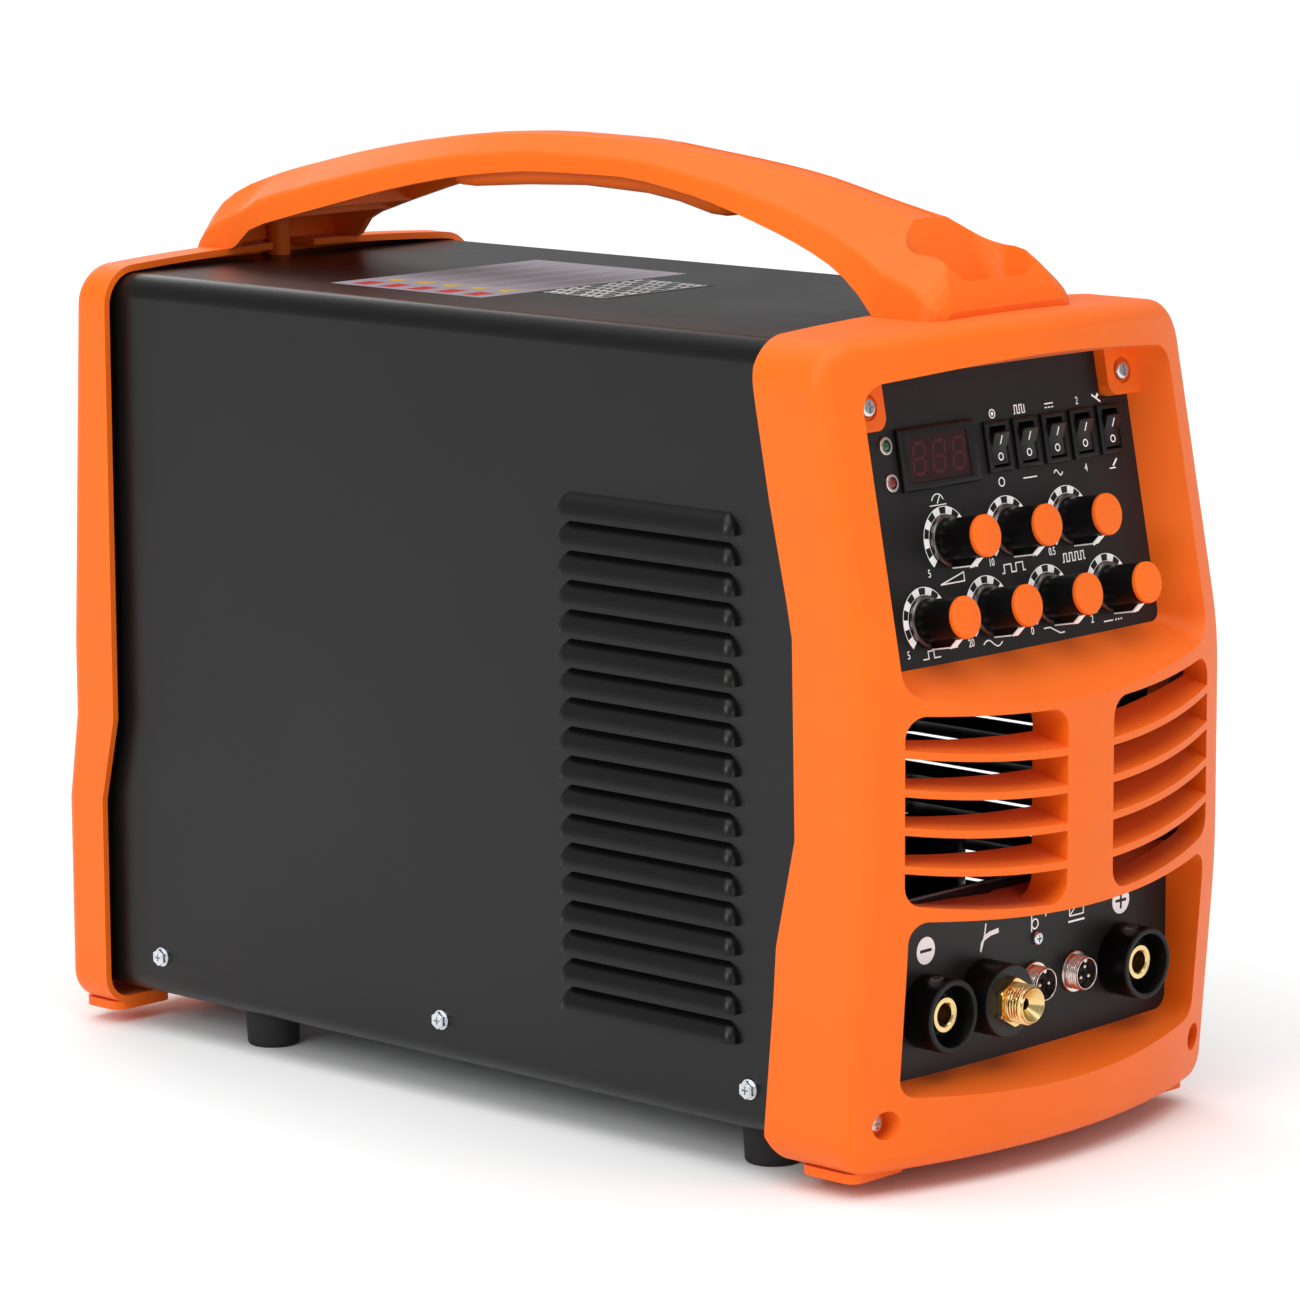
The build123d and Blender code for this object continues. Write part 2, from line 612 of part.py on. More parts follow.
def grip_insert():
    """Rounded liner under the hollow grip, held across the hollow by three ribs."""
    stations = [(153.0, 383.0, 388.0, 9.0), (158.0, 380.6, 391.0, 12.5), (166.0, 381.0, 394.0, 13.6),
                (184.0, 385.2, 397.0, 13.6), (203.0, 387.7, 399.0, 13.4), (240.0, 389.0, 399.5, 13.0),
                (275.0, 387.4, 397.5, 13.2), (306.0, 385.0, 394.0, 13.8), (315.0, 385.2, 392.5, 12.8),
                (320.0, 386.8, 390.5, 9.5)]
    outlines = []
    for y, low, high, half in stations:
        outline = RectangleRounded(2 * half, high - low, 0.42 * (high - low))
        outlines.append(Pos(0, y, (low + high) / 2) * Rot(90, 0, 0) * outline)
    liner = loft(outlines, ruled=True)
    hollow = handle_loft(HANDLE_STATIONS, HANDLE_WALL + 0.05, 180.0, 300.0, 12)
    for y in (196.0, 240.0, 284.0):
        liner += hollow & block(-30, 30, y - 1.5, y + 1.5, 396.0, 400.0)
    return one(liner)


# ---------------------------------------------------------------- control panel and what it carries
def control_panel():
    panel = panel_box(-93, 93, -36.5, 88, -PANEL_T, 0)
    corner = panel_box(EAR_X - 0.3, 99, EAR_V - 0.3, 99, -5, 5)
    panel -= corner
    panel -= mirror(corner, about=Plane.YZ)
    for x, v in KNOBS:
        panel -= on_panel(x, v) * Cylinder(3.7, 10)
    for i in range(5):
        panel -= on_panel(ROCKER_X0 + i * ROCKER_PITCH, ROCKER_V) * Box(13.4, 19.4, 10)
    panel -= on_panel(*METER) * Box(44, 21, 10)
    for x, v in LEDS:
        panel -= on_panel(x, v) * Cylinder(3.1, 10)
    return one(panel)


def meter_bezel():
    frame = Pos(0, 0, 1.3) * Box(48, 25.7, 2.6)
    frame = chamfer(frame.edges().group_by(Axis.Z)[-1], 0.8)
    frame += Pos(0, 0, -7) * Box(43.6, 20.6, 14)
    frame -= Pos(0, 0, 2.6) * Box(37.8, 19.2, 4.0)
    frame -= Pos(0, 0, -6) * Box(36, 17, 14)
    return on_panel(*METER) * one(frame)


def meter_window():
    return on_panel(*METER) * (Pos(0, 0, 1.2) * Box(37.6, 19.0, 1.2))


def indicator(index):
    x, v = LEDS[index]
    lens = Pos(0, 0, -1.6) * Cylinder(2.35, 6.0)
    lens = fillet(lens.edges().group_by(Axis.Z)[-1], 1.6)
    return on_panel(x, v) * lens


def indicator_bezels():
    rings = []
    for x, v in LEDS:
        ring = Pos(0, 0, 0.6) * Cylinder(3.8, 1.2)
        ring = fillet(ring.edges().group_by(Axis.Z)[-1], 0.5)
        ring = ring + Pos(0, 0, -3) * Cylinder(2.95, 6)
        ring -= Cylinder(2.45, 20)
        rings.append(on_panel(x, v) * ring)
    return rings


def rocker_housing(x, rounded):
    frame = Pos(0, 0, 1.0) * Box(15.0, 21.0, 2.0)
    if rounded:
        frame = frame & (Pos(0, 0, 1) * (Cylinder(13.6, 4)))
    frame = chamfer(frame.edges().group_by(Axis.Z)[-1], 0.6)
    frame += Pos(0, 0, -6.5) * Box(13.0, 19.0, 13.0)
    frame -= Pos(0, 0, -1.2) * Box(10.2, 16.9, 16.0)
    pin = Pos(0, 0, -1.5) * Rot(0, 90, 0) * Cylinder(1.2, 11.0)
    return on_panel(x, ROCKER_V) * (frame + pin)


def rocker_key(x):
    """The tilting key, its lower half pressed in, on the housing's pin."""
    half, low, ridge = 7.2, 3.2, 1.6
    pivot = -1.5
    side = Polyline((-half, low), (0, ridge), (half, low), (5.0, -5.5), (-5.0, -5.5), close=True)
    outline = make_face(side)
    key = Pos(-4.8, 0, 0) * extrude(Plane.YZ * outline, amount=9.6)
    key = fillet(key.edges().filter_by(Axis.X).group_by(Axis.Z)[-1], 0.7)
    key -= Pos(0, 0, pivot) * Rot(0, 90, 0) * Cylinder(1.2 + SHAFT_CLEARANCE, 12)
    key = Pos(0, 0, pivot) * Rot(ROCKER_TILT, 0, 0) * Pos(0, 0, -pivot) * key
    return on_panel(x, ROCKER_V) * key


def potentiometers():
    pots = []
    for x, v in KNOBS:
        pot = Pos(0, 0, -8) * Cylinder(8.0, 9) + Pos(0, 0, -1.5) * Cylinder(3.5, 4.0)
        pot += Pos(0, -9, -8) * Box(9, 6, 2)
        pot -= Pos(0, 0, -3) * Cylinder(SHAFT_R + SHAFT_CLEARANCE, 10)
        pots.append(on_panel(x, v) * pot)
    return pots


def knob(x, v):
    body = Pos(0, 0, 1.5) * Cylinder(10.2, 1.4)
    body = chamfer(body.edges().group_by(Axis.Z)[-1], 0.5)
    body += Pos(0, 0, 11.05) * Cone(8.8, 8.5, 17.7)
    fin = Polyline((-11.6, 2.2), (-7.0, 2.2), (-7.0, 16.6), (-8.6, 16.6), (-11.6, 12.6), close=True)
    body += Pos(-1.6, 0, 0) * extrude(Plane.YZ * make_face(fin), amount=3.2)
    body += Pos(0, 0, -0.6) * Cylinder(SHAFT_R, 4.4)
    body -= Pos(0, 0, 19.4) * Cylinder(6.0, 3.0)
    return on_panel(x, v) * one(body)


def knob_cap(x, v):
    cap = Pos(0, 0, 21.0) * Cylinder(8.7, 2.2)
    cap = fillet(cap.edges().group_by(Axis.Z)[-1], 0.8)
    cap += Pos(0, 0, 19.1) * Cylinder(5.95, 2.0)
    return on_panel(x, v) * cap


# ---------------------------------------------------------------- connector panel and what it carries
def connector_panel():
    panel = block(-97, 97, 0, PANEL_T, 40.5, 117)
    for x in (-SOCKET_X, GAS_X, SOCKET_X):
        panel -= rod_y(x, -1, 5, SOCKET_Z, 12.3)
    for x in GX_X:
        panel -= rod_y(x, -1, 5, SOCKET_Z, 7.6)
    panel -= rod_y(7.4, -1, 5, 89.0, 1.8)
    return one(panel)


def socket_shell(x):
    shell = rod_y(x, -SOCKET_OUT, 0, SOCKET_Z, SOCKET_R)
    shell = fillet(shell.edges().group_by(Axis.Y)[0], 0.8)
    shell += rod_y(x, 0, 16, SOCKET_Z, 12.0)
    shell -= rod_y(x, -SOCKET_OUT - 1, -4.5, SOCKET_Z, 12.7)
    shell += rod_y(x, -7.0, -4.0, SOCKET_Z, 9.6)
    shell -= rod_y(x, -20, 30, SOCKET_Z, 7.15)
    return one(shell)


def socket_contact(x):
    contact = rod_y(x, -10.5, 24, SOCKET_Z, 7.1)
    contact -= rod_y(x, -11, 12, SOCKET_Z, 4.6)
    mouth = contact.edges().filter_by(GeomType.CIRCLE).group_by(Axis.Y)[0]
    contact = chamfer(mouth.sort_by(SortBy.RADIUS)[0], 0.6)
    contact -= rod_y(x, 18, 30, SOCKET_Z, 3.3)
    return one(contact)


def gas_socket_base():
    base = rod_y(GAS_X, -SOCKET_OUT, 0, SOCKET_Z, SOCKET_R)
    base = fillet(base.edges().group_by(Axis.Y)[0], 0.8)
    base += rod_y(GAS_X, 0, 14, SOCKET_Z, 12.0)
    base -= rod_y(GAS_X, -20, 20, SOCKET_Z, 5.05)
    return one(base)


def torch_gas_fitting():
    hexagon = Plane.XZ * RegularPolygon(18.5 / 2, 6, major_radius=False, rotation=30)
    fitting = Pos(GAS_X, -15.0, SOCKET_Z) * extrude(hexagon, amount=3.0)
    fitting += rod_y(GAS_X, -27.0, -17.0, SOCKET_Z, 8.4)
    fitting = chamfer(fitting.edges().filter_by(GeomType.CIRCLE).group_by(Axis.Y)[0], 0.7)
    fitting += rod_y(GAS_X, -15, 22, SOCKET_Z, 5.0)
    fitting -= rod_y(GAS_X, -30, 30, SOCKET_Z, 2.4)
    cone = Pos(GAS_X, -24.8, SOCKET_Z) * Rot(90, 0, 0) * Cone(2.4, 6.9, 4.6)
    fitting -= cone
    return one(fitting)


def pin_places(index):
    x = GX_X[index]
    return [(x + PIN_CIRCLE_R * math.cos(math.radians(a)), SOCKET_Z + PIN_CIRCLE_R * math.sin(math.radians(a)))
            for a in PIN_ANGLES[index]]


def signal_connector(index):
    x = GX_X[index]
    shell = rod_y(x, -7.5, -1.6, SOCKET_Z, 7.3) + rod_y(x, -1.6, 0, SOCKET_Z, 8.8)
    shell += rod_y(x, 0, 10, SOCKET_Z, 7.1)
    nut = Plane.XZ * RegularPolygon(9.2, 6, major_radius=False)
    shell += Pos(x, 6.0, SOCKET_Z) * extrude(nut, amount=2.4)
    shell -= rod_y(x, -10, 12, SOCKET_Z, 6.3)
    shell += block(x - 0.8, x + 0.8, -6.5, -3.6, SOCKET_Z + 5.0, SOCKET_Z + 6.6)
    return one(shell)


def connector_insert(index):
    insert = rod_y(GX_X[index], -3.4, 9, SOCKET_Z, 6.25)
    for x, z in pin_places(index):
        insert -= rod_y(x, -10, 12, z, 0.95)
    return one(insert)


def connector_pins():
    pins = []
    for index in range(2):
        for x, z in pin_places(index):
            pin = rod_y(x, -6.6, 11.5, z, 0.9)
            pins.append(fillet(pin.edges().group_by(Axis.Y)[0], 0.6))
    return pins


# ---------------------------------------------------------------- screws and feet
def pan_screw(length, head_r=4.1, head_h=2.6, shank_r=2.0):
    """Cross-recessed pan head, its seat at local Z = 0 and its shank below."""
    head = Pos(0, 0, head_h / 2) * Cylinder(head_r, head_h)
    head = fillet(head.edges().group_by(Axis.Z)[-1], head_h * 0.55)
    cross = Pos(0, 0, head_h) * (Box(head_r * 1.1, 0.9, 2.4) + Box(0.9, head_r * 1.1, 2.4))
    return (head - cross) + Pos(0, 0, -length / 2) * Cylinder(shank_r, length)


def flange_screw(side, y):
    """Hexagon flange screw with a cross recess, through the cover's side."""
    head = Pos(0, 0, 0.5) * Cylinder(4.3, 1.0)
    head += extrude(RegularPolygon(3.3, 6, major_radius=False), amount=3.1)
    head += Pos(0, 0, 3.1) * Cylinder(2.7, 0.5)
    head -= Pos(0, 0, 3.3) * (Box(3.5, 0.8, 2.2) + Box(0.8, 3.5, 2.2))
    screw = head + Pos(0, 0, -4) * Cylinder(2.0, 8)
    turn = Rot(0, 90 * side, 0)
    return Pos(side * COVER_HALF, y, SIDE_SCREW_Z) * turn * screw


def case_screws():
    """Pan-head screws of both bezels, the handle and the feet."""
    screws = []
    face_out, back_out = Rot(90, 0, 0), Rot(-90, 0, 0)
    for side in (-1, 1):
        screws.append(on_panel(side * PANEL_SCREW[0], PANEL_SCREW[1], PANEL_SCREW_SEAT_H) * pan_screw(16))
        screws.append(Pos(side * CORNER_SCREW_X, -3.5, CORNER_SCREW_Z) * face_out * pan_screw(10))
        down = Pos(side * HANDLE_FRONT_SCREW_X, HANDLE_FRONT_SCREW_Y, HANDLE_SCREW_SEAT_Z)
        screws.append(down * pan_screw(12))
        for y in FOOT_Y:
            screws.append(Pos(side * FOOT_X, y, 9.0) * Rot(180, 0, 0) * pan_screw(15))
    for x, z in rear_screw_places():
        screws.append(Pos(x, 452.5, z) * back_out * pan_screw(11))
    screws.append(Pos(0, HANDLE_REAR_Y, COVER_TOP - COVER_T) * Rot(180, 0, 0) * pan_screw(14))
    return screws


def rubber_foot(side, y):
    foot = Pos(side * FOOT_X, y, PAN_Z / 2) * Cone(11.6, 12.6, PAN_Z)
    foot = fillet(foot.edges().group_by(Axis.Z)[0], 1.6)
    foot -= rod_z(side * FOOT_X, y, -1, 9.0, 5.6)
    foot -= rod_z(side * FOOT_X, y, 8, 30, 2.4)
    return one(foot)


# ---------------------------------------------------------------- rear fittings
def fan_frame():
    y0 = REAR_PLATE_Y - FAN_DEPTH
    square = extrude(RectangleRounded(FAN_SIZE, FAN_SIZE, 6), amount=FAN_DEPTH)
    frame = Pos(0, REAR_PLATE_Y, FAN_Z) * Rot(90, 0, 0) * square
    frame -= rod_y(0, y0 - 1, REAR_PLATE_Y + 1, FAN_Z, 57.5)
    frame += rod_y(0, REAR_PLATE_Y - 4.5, REAR_PLATE_Y - 0.5, FAN_Z, 20)
    for angle in (45, 135, 225, 315):
        arm = Pos(0, 0, 38) * Box(6, 3.0, 44)
        frame += Pos(0, REAR_PLATE_Y - 2.5, FAN_Z) * Rot(0, angle, 0) * arm
    frame += rod_y(0, REAR_PLATE_Y - 20.5, REAR_PLATE_Y - 4.5, FAN_Z, 2.0)
    for x in (-1, 1):
        for z in (-1, 1):
            frame -= rod_y(x * 52.5, y0 - 1, REAR_PLATE_Y + 1, FAN_Z + z * 52.5, 2.2)
    return one(frame)


def fan_rotor():
    y0, y1 = REAR_PLATE_Y - 23.0, REAR_PLATE_Y - 5.5
    rotor = rod_y(0, y0, y1, FAN_Z, 21)
    rotor = fillet(rotor.edges().group_by(Axis.Y)[0], 2)
    blade = Pos(0, (y0 + y1) / 2, 37) * Rot(0, 0, 38) * Box(22, 1.8, 35)
    blade = blade & rod_y(0, y0 + 0.5, y1 - 0.5, 0, 55.5)
    for i in range(7):
        rotor += Pos(0, 0, FAN_Z) * Rot(0, i * 360 / 7, 0) * blade
    rotor -= rod_y(0, REAR_PLATE_Y - 21.0, y1 + 1, FAN_Z, 2.0 + SHAFT_CLEARANCE)
    return one(rotor)


def fan_guard():
    """Wire guard: rings on four radial arms with screw eyes."""
    y = REAR_PLATE_Y + SHEET_T + 2.2
    guard = None
    for r in (14, 24, 34, 44, 54):
        ring = Pos(0, y + 1.6, FAN_Z) * Rot(90, 0, 0) * Torus(r, 0.9)
        guard = ring if guard is None else guard + ring
    for angle in (45, 135, 225, 315):
        arm = Rot(0, angle, 0) * rod_z(0, 0, 8, 71, 1.1)
        guard += Pos(0, y, FAN_Z) * arm
    for x in (-1, 1):
        for z in (-1, 1):
            eye = rod_y(x * 52.5, REAR_PLATE_Y + SHEET_T, y + 1.1, FAN_Z + z * 52.5, 4.2)
            guard += eye
            guard -= rod_y(x * 52.5, REAR_PLATE_Y, y + 3, FAN_Z + z * 52.5, 2.2)
    return one(guard)


def mains_place():
    return Pos(MAINS_X, REAR_PLATE_Y + SHEET_T, MAINS_Z) * Rot(-90, 0, 0)


def mains_switch_housing():
    frame = Pos(0, 0, 1.2) * Box(34, 25.5, 2.4)
    frame = chamfer(frame.edges().group_by(Axis.Z)[-1], 0.8)
    frame += Pos(0, 0, -9) * Box(29.6, 21.6, 18)
    frame -= Pos(0, 0, -2.0) * Box(24.6, 18.4, 20)
    frame += Pos(0, 0, -2.0) * Rot(90, 0, 0) * Cylinder(1.5, 19)
    return mains_place() * one(frame)


def mains_switch_key():
    half, end, ridge, pivot = 10.6, 4.2, 1.8, -2.0
    side = Polyline((-half, end), (0, ridge), (half, end), (7.4, -8.5), (-7.4, -8.5), close=True)
    key = Pos(0, 8.8, 0) * extrude(Plane.XZ * make_face(side), amount=17.6)
    key = fillet(key.edges().filter_by(Axis.Y).group_by(Axis.Z)[-1], 0.8)
    key -= Pos(0, 0, pivot) * Rot(90, 0, 0) * Cylinder(1.5 + SHAFT_CLEARANCE, 20)
    key = Pos(0, 0, pivot) * Rot(0, MAINS_TILT, 0) * Pos(0, 0, -pivot) * key
    return mains_place() * key


def cable_gland():
    y = REAR_PLATE_Y + SHEET_T
    gland = rod_y(58, y - 9, y, 60, 9.9)
    hexagon = Plane.XZ * RegularPolygon(12.0, 6, major_radius=False)
    gland += Pos(58, y + 5, 60) * extrude(hexagon, amount=5)
    gland += Pos(58, y + 11.5, 60) * Rot(-90, 0, 0) * Cone(11.6, 9.2, 13)
    gland -= rod_y(58, y - 12, y + 30, 60, 6.0)
    return one(gland)


def gas_inlet():
    y = REAR_PLATE_Y + SHEET_T
    nipple = rod_y(58, y - 12, y, 280, 6.0)
    hexagon = Plane.XZ * RegularPolygon(8.5, 6, major_radius=False)
    nipple += Pos(58, y + 4, 280) * extrude(hexagon, amount=4)
    nipple += rod_y(58, y, y + 19.5, 280, 4.0)
    for i in range(2):
        nipple += Pos(58, y + 10.0 + i * 5.0, 280) * Rot(-90, 0, 0) * Cone(4.8, 4.0, 3.0)
    nipple -= rod_y(58, y - 20, y + 30, 280, 2.2)
    return one(nipple)


def earth_stud():
    y = REAR_PLATE_Y + SHEET_T
    stud = rod_y(-60, y - 8, y + 12, 60, 3.0)
    nut = Plane.XZ * RegularPolygon(5.0, 6, major_radius=False)
    stud += Pos(-60, y + 5.5, 60) * extrude(nut, amount=4)
    stud += rod_y(-60, y, y + 1.5, 60, 6.2)
    return one(stud)


# ---------------------------------------------------------------- inside
def circuit_boards():
    power = block(-92, 92, 50, 410, BOARD_Z, BOARD_Z + 1.6)
    control = panel_box(-70, 70, -26, 58, -23.6, -22.0)
    return [power, control]


def heat_sink(x0, x1, y0, y1):
    z0, z1 = BOARD_Z + 10, BOARD_Z + 70
    sink = block(x0, x1, y0, y1, z0, z0 + 8)
    fins = int((x1 - x0 - 2) / 7) + 1
    for i in range(fins):
        x = x0 + i * (x1 - x0 - 2) / (fins - 1)
        sink += block(x, x + 2, y0, y1, z0 + 8, z1)
    for x in (x0 + 4, x1 - 4):
        for y in (y0 + 8, y1 - 8):
            sink += rod_z(x, y, BOARD_Z + 1.6, z0, 3)
    return one(sink)


def heat_sinks():
    return [heat_sink(x0, x0 + 62, y0, y0 + 95) for x0 in (-86, 24) for y0 in (176, 300)]


def transformer():
    core = block(-17, 17, 196, 262, BOARD_Z + 1.6, BOARD_Z + 62)
    core -= block(-18, 18, 207, 251, BOARD_Z + 14, BOARD_Z + 50)
    coil = block(-22, 22, 208, 250, BOARD_Z + 15, BOARD_Z + 49)
    coil = fillet(coil.edges().filter_by(Axis.Z), 6)
    middle = block(-18, 18, 219, 239, BOARD_Z + 10, BOARD_Z + 54)
    leg = block(-17, 17, 219.2, 238.8, BOARD_Z + 14, BOARD_Z + 50)
    return [core + leg, one(coil - middle)]


def capacitors():
    cans = []
    for i in range(4):
        can = rod_z(-66 + i * 44, 108, BOARD_Z + 1.6, BOARD_Z + 54, 16)
        cans.append(fillet(can.edges().group_by(Axis.Z)[-1], 2))
    return cans


def gas_valve():
    body = block(46, 70, 392, 424, 262, 290)
    body += rod_z(58, 408, 290, 318, 11)
    body += rod_y(58, 380, 392, 276, 4.5)
    return one(body)


# ---------------------------------------------------------------- write every node
def main():
    save("body_cover", body_cover())
    save("base_pan", base_pan())
    save("front_plate", front_plate())
    save("rear_plate", rear_plate())
    save("front_bezel", front_bezel())
    save("rear_bezel", rear_bezel())
    save("handle", handle())
    save("grip_insert", grip_insert())
    save("control_panel", control_panel())
    save("meter_bezel", meter_bezel())
    save("meter_window", meter_window())
    save("indicator_bezels", *indicator_bezels())
    save("indicator_green", indicator(0))
    save("indicator_red", indicator(1))
    housings = []
    for i in range(5):
        x = ROCKER_X0 + i * ROCKER_PITCH
        housings.append(rocker_housing(x, i == 2))
        save(f"rocker_{i + 1}", rocker_key(x))
    save("rocker_housings", *housings)
    save("potentiometers", *potentiometers())
    for i, (x, v) in enumerate(KNOBS):
        save(f"knob_{i + 1}", knob(x, v))
        save(f"knob_cap_{i + 1}", knob_cap(x, v))
    save("connector_panel", connector_panel())
    save("negative_socket", socket_shell(-SOCKET_X))
    save("positive_socket", socket_shell(SOCKET_X))
    save("socket_contacts", socket_contact(-SOCKET_X), socket_contact(SOCKET_X))
    save("gas_socket_base", gas_socket_base())
    save("torch_gas_fitting", torch_gas_fitting())
    save("signal_connectors", signal_connector(0), signal_connector(1))
    save("connector_inserts", connector_insert(0), connector_insert(1))
    save("connector_pins", *connector_pins())
    front_earth = Pos(7.4, 0, 89.0) * Rot(90, 0, 0) * pan_screw(6, 2.9, 1.8, 1.6)
    save("earth_fasteners", front_earth, earth_stud())
    save("cover_screws", *[flange_screw(side, y) for side in (-1, 1) for y in SIDE_SCREW_Y])
    save("case_screws", *case_screws())
    save("feet", *[rubber_foot(side, y) for side in (-1, 1) for y in FOOT_Y])
    save("fan_frame", fan_frame())
    save("fan_rotor", fan_rotor())
    save("fan_guard", fan_guard())
    save("mains_switch_housing", mains_switch_housing())
    save("mains_switch_key", mains_switch_key())
    save("cable_gland", cable_gland())
    save("gas_inlet", gas_inlet())
    save("circuit_boards", *circuit_boards())
    save("heat_sinks", *heat_sinks())
    save("transformer", *transformer())
    save("capacitors", *capacitors())
    save("gas_valve", gas_valve())


main()
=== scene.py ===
import json
import math

import bmesh
import bpy
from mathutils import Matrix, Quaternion, Vector


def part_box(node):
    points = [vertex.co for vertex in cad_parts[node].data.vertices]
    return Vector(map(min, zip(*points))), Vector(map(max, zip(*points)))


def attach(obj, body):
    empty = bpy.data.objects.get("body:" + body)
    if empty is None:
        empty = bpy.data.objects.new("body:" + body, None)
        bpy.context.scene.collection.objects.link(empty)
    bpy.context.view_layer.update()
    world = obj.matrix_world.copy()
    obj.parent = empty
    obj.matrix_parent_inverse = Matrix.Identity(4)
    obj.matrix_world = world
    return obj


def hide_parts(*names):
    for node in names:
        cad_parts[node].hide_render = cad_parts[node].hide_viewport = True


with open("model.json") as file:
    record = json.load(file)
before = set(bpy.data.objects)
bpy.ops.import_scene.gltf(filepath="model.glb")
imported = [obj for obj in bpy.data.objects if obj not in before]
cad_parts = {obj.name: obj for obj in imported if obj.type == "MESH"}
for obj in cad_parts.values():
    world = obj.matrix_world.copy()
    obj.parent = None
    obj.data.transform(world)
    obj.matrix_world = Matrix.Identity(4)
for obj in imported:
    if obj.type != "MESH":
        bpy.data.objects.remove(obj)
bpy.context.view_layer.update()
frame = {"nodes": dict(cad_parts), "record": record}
NODES = frame["nodes"]

# The row frame is in metres. Sizes below are in millimetres and pass through at(), on_panel(),
# on_front() or on_top().
MM = 0.001
PLANE_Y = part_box("connector_panel")[0].y / MM
COVER_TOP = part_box("body_cover")[1].z / MM

# Leaning control panel: its lean, its origin, and its controls as (across, up) on it.
LEAN = 0.193
LEAN_S, LEAN_C = math.sin(LEAN), math.cos(LEAN)
PANEL_Y, PANEL_Z = 7.68, 246.04
KNOBS = [(-39.2, 14.5), (0.0, 14.5), (39.2, 14.5),
         (-58.8, -16.3), (-19.6, -16.3), (19.6, -16.3), (58.8, -16.3)]
KNOB_ENDS = [("5", "200"), ("10", "90"), ("0.5", "5"),
             ("5", "200"), ("20", "80"), ("0", "10"), ("2", "10")]
ROCKERS = 5
ROCKER_X0, ROCKER_PITCH, ROCKER_V, ROCKER_TILT = 0.2, 18.42, 48.8, math.radians(12)
METER = (-38.3, 48.9)

# Upright connector panel: centres of the current sockets, gas outlet and signal connectors.
SOCKET_X, SOCKET_Z, SOCKET_R = 63.5, 70.7, 15.35
GAS_X = -27.3
SIGNAL_X = (5.2, 32.0)
POLARITY_X, POLARITY_Z = SOCKET_X + 0.1, 95.8

# Edges sharper than this stay crisp.
SHARP = math.radians(32)

# Most of a noise texture's values lie between these.
NOISE_LOW, NOISE_HIGH = 0.3, 0.7


def at(x, y, z):
    """A point given in mm from the connector panel's face."""
    return Vector((x, y + PLANE_Y, z)) * MM


def on_panel(x, v, h):
    """A point across, up and out of the leaning control panel, in mm."""
    return at(x, PANEL_Y + v * LEAN_S - h * LEAN_C, PANEL_Z + v * LEAN_C + h * LEAN_S)


def on_front(x, z, h):
    """A point on the upright connector panel, h out of it, in mm."""
    return at(x, -h, z)


def on_top(x, y, h):
    """A point on the flat top of the case, h above it, in mm."""
    return at(x, y, COVER_TOP + h)


# ---------------------------------------------------------------- materials
def shader(name, color, roughness, metallic=0.0, specular=0.5):
    """A new material, with its nodes, its links and its shader."""
    material = bpy.data.materials.new(name)
    material.use_nodes = True
    nodes, links = material.node_tree.nodes, material.node_tree.links
    principled = nodes["Principled BSDF"]
    principled.inputs["Base Color"].default_value = (*color, 1.0)
    principled.inputs["Roughness"].default_value = roughness
    principled.inputs["Metallic"].default_value = metallic
    principled.inputs["Specular IOR Level"].default_value = specular
    material.diffuse_color = (*color, 1.0)
    return material, nodes, links, principled


def noise(nodes, links, scale, detail=2.0, stretch=None):
    """Noise in the object's own coordinates; scale is in features per metre."""
    coords = nodes.new("ShaderNodeTexCoord")
    texture = nodes.new("ShaderNodeTexNoise")
    texture.inputs["Scale"].default_value = scale
    texture.inputs["Detail"].default_value = detail
    if stretch:
        mapping = nodes.new("ShaderNodeMapping")
        mapping.inputs["Scale"].default_value = stretch
        links.new(coords.outputs["Object"], mapping.inputs["Vector"])
        links.new(mapping.outputs["Vector"], texture.inputs["Vector"])
    else:
        links.new(coords.outputs["Object"], texture.inputs["Vector"])
    return texture


def spread(nodes, links, source, low, high):
    """A noise stretched over a range of values."""
    ranged = nodes.new("ShaderNodeMapRange")
    ranged.inputs["From Min"].default_value = NOISE_LOW
    ranged.inputs["From Max"].default_value = NOISE_HIGH
    ranged.inputs["To Min"].default_value = low
    ranged.inputs["To Max"].default_value = high
    links.new(source, ranged.inputs["Value"])
    return ranged.outputs["Result"]


def tint(nodes, links, source, color, low, high):
    """Colour that varies between two strengths of itself."""
    ramp = nodes.new("ShaderNodeValToRGB")
    ramp.color_ramp.elements[0].position = NOISE_LOW
    ramp.color_ramp.elements[1].position = NOISE_HIGH
    ramp.color_ramp.elements[0].color = (*[c * low for c in color], 1.0)
    ramp.color_ramp.elements[1].color = (*[min(c * high, 1.0) for c in color], 1.0)
    links.new(source, ramp.inputs["Fac"])
    return ramp


def bump(nodes, links, principled, source, strength, distance):
    """Relief from a noise; distance is in metres."""
    node = nodes.new("ShaderNodeBump")
    node.inputs["Strength"].default_value = strength
    node.inputs["Distance"].default_value = distance
    links.new(source, node.inputs["Height"])
    links.new(node.outputs["Normal"], principled.inputs["Normal"])
    return node


def moulded(name, color, roughness, grain=1500.0, depth=0.00006, variation=0.05, specular=0.5,
            swing=0.05):
    """Injection-moulded plastic with a fine spark-eroded grain."""
    material, nodes, links, principled = shader(name, color, roughness, specular=specular)
    cloud = noise(nodes, links, 14.0, 3.0)
    fine = noise(nodes, links, grain, 2.0)
    base = tint(nodes, links, cloud.outputs["Fac"], color, 1.0 - variation, 1.0 + variation)
    links.new(base.outputs["Color"], principled.inputs["Base Color"])
    rough = spread(nodes, links, fine.outputs["Fac"], roughness - swing, roughness + swing)
    links.new(rough, principled.inputs["Roughness"])
    bump(nodes, links, principled, fine.outputs["Fac"], 0.35, depth)
    return material


